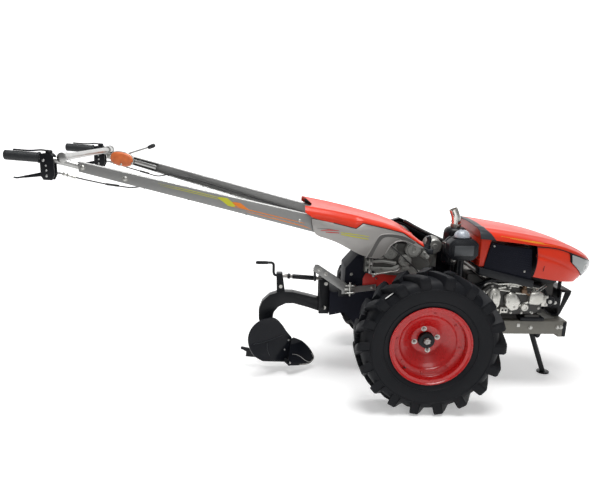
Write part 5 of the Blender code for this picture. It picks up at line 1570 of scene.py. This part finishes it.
for x, z, r in ((-1.631, 1.098, 0.006), (-1.622, 1.077, 0.0042), (-1.622, 1.057, 0.0048),
                (-1.623, 1.034, 0.0055)):
    pins.append(dome_bolt((x, 0.3826, z), (0, 1, 0), r, 0.0042))
    pins.append(dome_bolt((x, 0.3434, z), (0, -1, 0), r, 0.0042))
put("lever_bolts", both(joined(*pins)), steel, "chassis")

# %% [markdown]
# Cables. Each clutch cable leaves its lever through a bright adjuster with two nuts, hangs in
# a short curve with a thicker sleeve, and then runs along the beam to the gearbox.

# %% Cables and adjusters
cable_path = [(-1.5877, 0.364, 1.045), (-1.572, 0.364, 1.045), (-1.5, 0.35, 1.022),
              (-1.38, 0.322, 0.992), (-1.29, 0.268, 0.972), (-1.22, 0.256, 0.988),
              (-1.12, 0.266, 0.966), (-0.6, 0.193, 0.815), (-0.28, 0.143, 0.721),
              (-0.235, 0.137, 0.7), (-0.205, 0.129, 0.66), (-0.2, 0.1235, 0.63),
              (-0.2, 0.1235, 0.6005)]
sheath = bar(eased(cable_path, 0.045, 7), 0.003, 12)
sleeve = bar([(-1.395, 0.3255, 0.9957), (-1.345, 0.3008, 0.9853)], 0.005, 14)
boot = bar([(-0.2, 0.1235, 0.65), (-0.2, 0.1235, 0.604)], 0.0058, 16, radii=[0.0042, 0.0064])
sheath_shape = joined(sheath, sleeve, boot)
for side, made in (("left", sheath_shape), ("right", mirror_y(sheath_shape))):
    put("clutch_sheath_" + side, made, cable_black, "chassis",
        ["clutch_cable_" + side], smooth=60)
way = (Vector((-1.5, 0.35, 1.022)) - Vector((-1.572, 0.364, 1.045))).normalized()
tip_at = Vector((-1.566, 0.3628, 1.0431))
adjuster = joined(*[turned(rows, tip_at, way, sides, closed=True) for rows, sides in (
    ([(0, 0.0029), (0, 0.0045), (0.05, 0.0045), (0.05, 0.0029)], 18),
    ([(0.004, 0.003), (0.004, 0.0072), (0.012, 0.0072), (0.012, 0.003)], 6),
    ([(0.02, 0.003), (0.02, 0.0076), (0.027, 0.0076), (0.027, 0.003)], 6),
    ([(0.04, 0.003), (0.04, 0.0066), (0.055, 0.0066), (0.06, 0.0046), (0.06, 0.003)], 18))])
put("cable_adjusters", both(adjuster), zinc, "chassis", smooth=45)
ties = []
for x in (-1.235, -1.05, -0.8):
    y = beam_outer(x)
    ties.append(block(x - 0.003, x + 0.003, y - 0.034, y + 0.0012, at_height(x, 0.0) - 0.001,
                      at_height(x, 0.0) + 0.003, 0.0008))
put("cable_clips", both(joined(*ties)), black, "chassis")

# %% [markdown]
# Throttle. On the left beam sits a rounded orange shield with a bright rim and two screws,
# and the throttle lever comes out of its top, a bright rod with a black knob.

# %% Shield and throttle lever
SHIELD_X, SHIELD_Z, TILT = -1.478, 1.063, -0.22
oval = []
for k in range(40):
    a = 2 * math.pi * k / 40
    ox = 0.059 * math.copysign(abs(math.cos(a)) ** 0.75, math.cos(a))
    oz = 0.035 * math.copysign(abs(math.sin(a)) ** 0.85, math.sin(a))
    oval.append((SHIELD_X + ox * math.cos(TILT) - oz * math.sin(TILT),
                 SHIELD_Z + ox * math.sin(TILT) + oz * math.cos(TILT)))
pod = plate(oval, 0.256, 0.296, 0.009)
put("throttle_shield", pod, orange, "chassis", ["control_shield"], smooth=50)
edge_band = plate([(x + (x - SHIELD_X) * 0.045, z + (z - SHIELD_Z) * 0.06) for x, z in oval],
                  0.274, 0.2985, 0.002)
shield_screws = [dome_bolt((x, y, z), (0, -1, 0), 0.006, 0.004)
                 for x, y, z in ((-1.478, 0.2535, 1.036), (-1.536, 0.262, 1.078),
                                 (-1.418, 0.248, 1.04))]
shield_tab = plate([(-1.556, 1.066), (-1.52, 1.06), (-1.52, 1.088), (-1.552, 1.092)],
                   0.262, 0.267, 0.001)
put("throttle_shield_rim", joined(edge_band, *shield_screws, shield_tab), zinc, "chassis",
    smooth=45)
throttle_rod = bar(eased([(-1.44, 0.28, 1.0824), (-1.44, 0.28, 1.091), (-1.33, 0.28, 1.124)],
                         0.004), 0.0042, 14)
put("throttle_rod", throttle_rod, steel, "chassis", ["throttle_lever"], smooth=45)
knob_way = Vector((-1.3, 0, 1.135)) - Vector((-1.33, 0, 1.1235))
knob = turned([(-0.004, 0), (-0.004, 0.007), (0.0, 0.0095), (0.022, 0.0108), (0.032, 0.0098),
               (0.036, 0.006), (0.037, 0)], (-1.334, 0.28, 1.122), knob_way, 26)
put("throttle_knob", knob, grip_black, "chassis", smooth=50)
print("handles made")

# %% [markdown]
# Hitch. A flat strut with a rounded end and two bolts runs down to a bright U-bolt, which
# clamps a black plate to the casting's arm.

# %% Hitch strut, U-bolt and bracket
put("hitch_strut", softened("hitch_stay", 0.0025, 3), beam_silver, "chassis",
    ["hitch_stay"])
OUT_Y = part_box("hitch_stay")[0].y  # the strut's outer face
strut_bits = []
for f in (0.08, 0.26):
    x, z = -0.47 + 0.17 * f, 0.577 - 0.118 * f
    strut_bits.append(hexagon((x, OUT_Y + 0.0002, z), (0, -1, 0), 0.013, 0.006, f * 7, 0.0095))
for z in (0.492, 0.455):
    u_path = eased([(-0.33, OUT_Y + 0.004, z), (-0.33, OUT_Y - 0.01, z),
                    (-0.286, OUT_Y - 0.01, z), (-0.286, OUT_Y + 0.01, z)], 0.008, 5)
    strut_bits.append(bar(u_path, 0.0045, 12))
strut_bits += [block(-0.334, -0.282, OUT_Y - 0.0075, OUT_Y - 0.0015, 0.466, 0.48, 0.002),
               bar([(-0.308, OUT_Y - 0.008, 0.44), (-0.308, OUT_Y - 0.008, 0.508)], 0.0052, 14),
               hexagon((-0.2, OUT_Y + 0.0118, 0.478), (0, -1, 0), 0.012, 0.006, 0.3, 0.009)]
put("hitch_clamp", joined(*strut_bits), zinc, "chassis", smooth=45)
under = [plate([(-0.484, 0.572), (-0.474, 0.572), (-0.47, 0.512), (-0.48, 0.506)],
               OUT_Y + 0.006, OUT_Y + 0.03, 0.001),
         plate([(-0.36, 0.512), (-0.318, 0.484), (-0.318, 0.43), (-0.36, 0.43)],
               OUT_Y + 0.015, OUT_Y + 0.02, 0.001)]
put("hitch_plates", joined(*under), black, "chassis")
put("plough_bracket_plates", softened("plough_bracket", 0.0014, 2, 40), black, "chassis",
    ["plough_bracket"])
bracket_bolts = []
for x, z in ((-0.416, 0.478), (-0.422, 0.354)):
    for s in (1, -1):
        bracket_bolts.append(hexagon((x, s * 0.0398, z), (0, s, 0), 0.013, 0.006, x * 4, 0.0092))
put("bracket_bolts", joined(*bracket_bolts), zinc, "chassis")

# %% [markdown]
# Plough. The beam is a thick curved bar. The mouldboard twists as it rises, so that it turns
# the soil over, and the share below it is bolted on with countersunk bolts and worn bright
# along its cutting edge. A screw with a crank sets the depth.

# %% Beam and depth screw
put("plough_beam_bar", softened("plough_beam", 0.004, 3, 32), black, "plough",
    ["plough_beam"], smooth=40)
lug_bolts = [hexagon((-0.64, s * 0.0188, 0.456), (0, s, 0), 0.013, 0.006, 0.4, 0.0092)
             for s in (1, -1)]
for x, z in ((-0.69, 0.128), (-0.64, 0.118)):
    lug_bolts.append(hexagon((x, 0.0238, z), (0, 1, 0), 0.012, 0.006, x, 0.0086))
put("plough_bolts", joined(*lug_bolts), zinc, "plough")

screw_low, screw_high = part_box("depth_screw")
SCREW_R = (screw_high.y - screw_low.y) / 2
screw_a, screw_b = Vector((-0.664, 0, 0.5098)), Vector((-0.386, 0, 0.4898))
screw_way = (screw_b - screw_a).normalized()
screw_long = (screw_b - screw_a).length
thread = [(0.012, 0), (0.012, SCREW_R * 0.9), (0.018, SCREW_R)]
place, pitch = 0.07, 0.0042
thread += [(0.068, SCREW_R)]
while place < screw_long - 0.012:
    thread += [(place, SCREW_R * 0.84), (place + pitch * 0.25, SCREW_R * 0.99),
               (place + pitch * 0.5, SCREW_R * 0.99), (place + pitch * 0.75, SCREW_R * 0.84)]
    place += pitch
thread += [(screw_long - 0.006, SCREW_R * 0.84), (screw_long, SCREW_R * 0.7), (screw_long, 0)]
put("depth_screw_thread", turned(thread, screw_a, screw_way, 24), worn, "plough",
    ["depth_screw"], smooth=40)
crank_path = eased([screw_a + screw_way * 0.02, screw_a - screw_way * 0.008, (-0.676, 0, 0.525),
                    (-0.676, 0, 0.566), (-0.684, 0, 0.574), (-0.765, 0, 0.574)], 0.012, 5)
crank = bar(crank_path, 0.0064, 16)
handle_end = turned([(0, 0), (0, 0.008), (0.004, 0.0085), (0.052, 0.0085), (0.056, 0.007),
                     (0.056, 0)], (-0.705, 0, 0.574), (-1, 0, 0), 20)
collars = [turned([(a, 0), (a, SCREW_R + 0.0035), (a + 0.003, SCREW_R + 0.0045),
                   (a + 0.01, SCREW_R + 0.0045), (a + 0.013, SCREW_R + 0.0035), (a + 0.013, 0)],
                  screw_a, screw_way, 24) for a in (0.058, 0.006)]
outer_sleeve = turned([(0.082, 0), (0.082, SCREW_R + 0.002), (0.086, SCREW_R + 0.0028),
                       (0.198, SCREW_R + 0.0028), (0.202, SCREW_R + 0.0015), (0.202, 0)],
                      screw_a, screw_way, 28)
put("depth_crank", joined(crank, handle_end, *collars, outer_sleeve), black, "plough",
    smooth=45)


# %% Mouldboard
def between(left, right, y_at, swell):
    """A sheet between two curves of (X, Z), with Y from a function of X and Z."""
    def surface(u, v):
        xa, za = through(left, v)
        xb, zb = through(right, v)
        x, z = xa + (xb - xa) * u, za + (zb - za) * u
        y = y_at(x, z) + swell * math.sin(math.pi * v) * (1 - 0.6 * u)
        return Vector((x, y, z))
    return surface


BOARD_REAR = [(-0.6836, 0.3167), (-0.7148, 0.3154), (-0.7456, 0.3081), (-0.7729, 0.288),
              (-0.7911, 0.2564), (-0.7967, 0.2184), (-0.7885, 0.1761), (-0.7674, 0.1327),
              (-0.7271, 0.0949)]
BOARD_FRONT = [(-0.6678, 0.3114), (-0.6486, 0.2917), (-0.627, 0.2576), (-0.6043, 0.2151),
               (-0.58, 0.1752), (-0.5825, 0.148), (-0.586, 0.123), (-0.593, 0.085),
               (-0.602, 0.052)]
board_face = between(BOARD_REAR, BOARD_FRONT,
                     lambda x, z: -0.01 + 0.74 * (x + 0.582) - 0.1 * max(0.0, z - 0.2), 0.014)
gloss_black = finish("mouldboard_paint", (0.005, 0.006, 0.009), (0.01, 0.011, 0.014), 0.24,
                     grain=0.00001, grain_scale=90.0, patch=9.0, rough_spread=0.15, specular=0.18)
board = panel(board_face, 40, 48, 0.0058, 0.0014, Vector((0.3, -1, 0)))
put("mouldboard_sheet", board, gloss_black, "plough", ["mouldboard"], smooth=50)

# %% Share
SHARE_REAR = [(-0.583, 0.179), (-0.586, 0.158), (-0.5885, 0.1349), (-0.591, 0.1138),
              (-0.5935, 0.0927), (-0.596, 0.0751), (-0.5975, 0.07), (-0.597, 0.061)]
SHARE_FRONT = [(-0.5664, 0.1803), (-0.527, 0.1528), (-0.4905, 0.1147), (-0.4668, 0.0763),
               (-0.4611, 0.0577), (-0.4711, 0.042), (-0.4919, 0.035), (-0.5379, 0.044)]


def share_y(x, z):
    """The share's Y: it turns out towards its cutting edge."""
    t = min(max((0.15 - z) / 0.12, 0.0), 1.0)
    upper, lower = -0.016 + 0.75 * (x + 0.58), 0.006 + 1.0 * (x + 0.463)
    return upper + (min(lower, 0.0) - upper) * t * 0.8 - 0.004


share_face = between(SHARE_REAR, SHARE_FRONT, share_y, -0.006)
share_sheet = panel(share_face, 30, 44, 0.0066, 0.0016, Vector((0.3, -1, 0.3)))
for f in share_sheet.faces:
    c = f.calc_center_median()
    rim = min((Vector((c.x, 0, c.z)) - Vector((x, 0, z))).length
              for x, z in (through(SHARE_FRONT, 0.42 + 0.58 * i / 24) for i in range(25)))
    f.material_index = 1 if rim < 0.0065 else 0
put("share_blade", share_sheet, [gloss_black, worn], "plough", ["share"], smooth=50)


def nearest(surface, x, z):
    """The surface's own point closest to a place seen from the side."""
    spot, gap = None, 1e9
    for i in range(41):
        for j in range(41):
            p = surface(i / 40, j / 40)
            d = (p.x - x) ** 2 + (p.z - z) ** 2
            if d < gap:
                spot, gap = (i / 40, j / 40), d
    p = surface(*spot)
    n = normal_of(surface, min(max(spot[0], 0.02), 0.98), min(max(spot[1], 0.02), 0.98))
    return p, (n if n.y < 0 else -n)


def bar_on(surface, places, radius):
    """A thin bar that lies on the surface, along places seen from the side."""
    points = []
    for x, z in places:
        p, n = nearest(surface, x, z)
        points.append(p + n * radius * 0.25)
    return bar(eased(points, 0.02, 4), radius, 8)


marks = []
for surface, x, z, r in ((board_face, -0.5945, 0.1718, 0.006), (share_face, -0.5905, 0.0735, 0.006),
                         (board_face, -0.615, 0.125, 0.005)):
    p, n = nearest(surface, x, z)
    marks.append(dome_bolt(p, n, r, 0.0026))
put("share_bolts", joined(*marks), steel, "plough")
crease = bar_on(board_face, [(-0.776, 0.1925), (-0.7395, 0.1919), (-0.7021, 0.1946),
                             (-0.6575, 0.1989), (-0.6187, 0.2087)], 0.0016)
crease_2 = bar_on(board_face, [(-0.7083, 0.1794), (-0.707, 0.1449), (-0.6923, 0.113)], 0.0016)
put("mouldboard_creases", joined(crease, crease_2), slate, "plough", smooth=60)
worn_line = bar_on(share_face, [(-0.58, 0.1068), (-0.5587, 0.1001), (-0.5323, 0.0827),
                                (-0.5123, 0.0617), (-0.488, 0.043), (-0.472, 0.048)], 0.0017)
put("share_worn_line", worn_line, steel, "plough", smooth=60)
land_tail = bar(eased([(-0.77, 0.03, 0.085), (-0.805, 0.03, 0.098), (-0.844, 0.03, 0.106)],
                      0.02), 0.0085, 14)
put("landside_bar", joined(softened("landside", 0.0012), land_tail), black, "plough",
    ["landside"])
print("plough made")

# %% [markdown]
# Studio. A wide pale floor and soft light from above, a little stronger towards the camera's
# side, so that the top faces are bright and the flanks stay deeper in colour.

# %% Floor, light and camera
WALL_Y, BEND = 6.0, 2.5  # where the floor starts to bend, and the bend's radius


def studio_sweep(u, v):
    """A floor that bends up into a wall, far behind the machine."""
    run = -9.0 + 20.0 * v
    bent = min(max(run - WALL_Y, 0.0) / BEND, math.pi / 2)
    y = min(run, WALL_Y) + BEND * math.sin(bent)
    z = BEND * (1 - math.cos(bent)) + max(0.0, run - WALL_Y - BEND * math.pi / 2) * 6.0
    return Vector((-16.0 + 32.0 * u, y, z))


floor_shape = bmesh.new()
bmesh.ops.create_grid(floor_shape, x_segments=2, y_segments=100, size=1.0)
for v in floor_shape.verts:
    v.co = studio_sweep((v.co.x + 1) / 2, (v.co.y + 1) / 2)
for f in floor_shape.faces:
    f.smooth = True
floor_mesh = bpy.data.meshes.new("floor")
floor_shape.to_mesh(floor_mesh)
floor_shape.free()
floor_paint = bpy.data.materials.new("studio_floor")
floor_paint.use_nodes = True
paint = floor_paint.node_tree
floor_shader = paint.nodes["Principled BSDF"]
floor_shader.inputs["Base Color"].default_value = (0.84, 0.84, 0.84, 1)
floor_shader.inputs["Roughness"].default_value = 0.9
floor_shader.inputs["Specular IOR Level"].default_value = 0.1
floor_shader.inputs["Emission Color"].default_value = (1, 1, 1, 1)
place = paint.nodes.new("ShaderNodeTexCoord")
apart = paint.nodes.new("ShaderNodeSeparateXYZ")
glow = paint.nodes.new("ShaderNodeMapRange")
glow.interpolation_type = "SMOOTHSTEP"
glow.inputs["From Min"].default_value = 0.2
glow.inputs["From Max"].default_value = 6.0
glow.inputs["To Min"].default_value = 0.34
glow.inputs["To Max"].default_value = 0.85
paint.links.new(place.outputs["Object"], apart.inputs["Vector"])
paint.links.new(apart.outputs["Y"], glow.inputs["Value"])
paint.links.new(glow.outputs["Result"], floor_shader.inputs["Emission Strength"])
floor_mesh.materials.append(floor_paint)
floor = bpy.data.objects.new("floor", floor_mesh)
bpy.context.scene.collection.objects.link(floor)

sky = bpy.data.worlds.new("studio")
bpy.context.scene.world = sky
sky.use_nodes = True
sky.node_tree.nodes["Background"].inputs["Color"].default_value = (1.0, 1.0, 1.0, 1.0)
sky.node_tree.nodes["Background"].inputs["Strength"].default_value = 0.24


def soft_light(name, place, target, size, power):
    """A round lamp aimed at a place."""
    lamp = bpy.data.lights.new(name, "AREA")
    lamp.shape, lamp.size, lamp.energy = "DISK", size, power
    holder = bpy.data.objects.new(name, lamp)
    bpy.context.scene.collection.objects.link(holder)
    holder.location = place
    way = Vector(target) - Vector(place)
    holder.rotation_euler = way.to_track_quat("-Z", "Y").to_euler()


soft_light("overhead", (0.3, -0.6, 4.2), (0, 0, 0.5), 2.6, 175)
soft_light("front_fill", (1.2, -4.2, 2.4), (0.2, 0, 0.6), 1.6, 24)

camera_data = bpy.data.cameras.new("camera")
camera_data.lens, camera_data.sensor_width = 34.52, 36.0
camera_data.shift_x, camera_data.shift_y = 0.061, 0.0527
camera = bpy.data.objects.new("camera", camera_data)
bpy.context.scene.collection.objects.link(camera)
YAW, DOWN = -0.025, 0.258
aim_way = Vector((math.sin(YAW) * math.cos(DOWN), math.cos(YAW) * math.cos(DOWN), -math.sin(DOWN)))
camera.location = AXLE + Vector((-0.676, -2.745, 1.254))
camera.rotation_euler = aim_way.to_track_quat("-Z", "Y").to_euler()
bpy.context.scene.camera = camera
bpy.context.scene.view_settings.view_transform = "Standard"
bpy.context.scene.view_settings.look = "None"

# %% End
print("scene made")
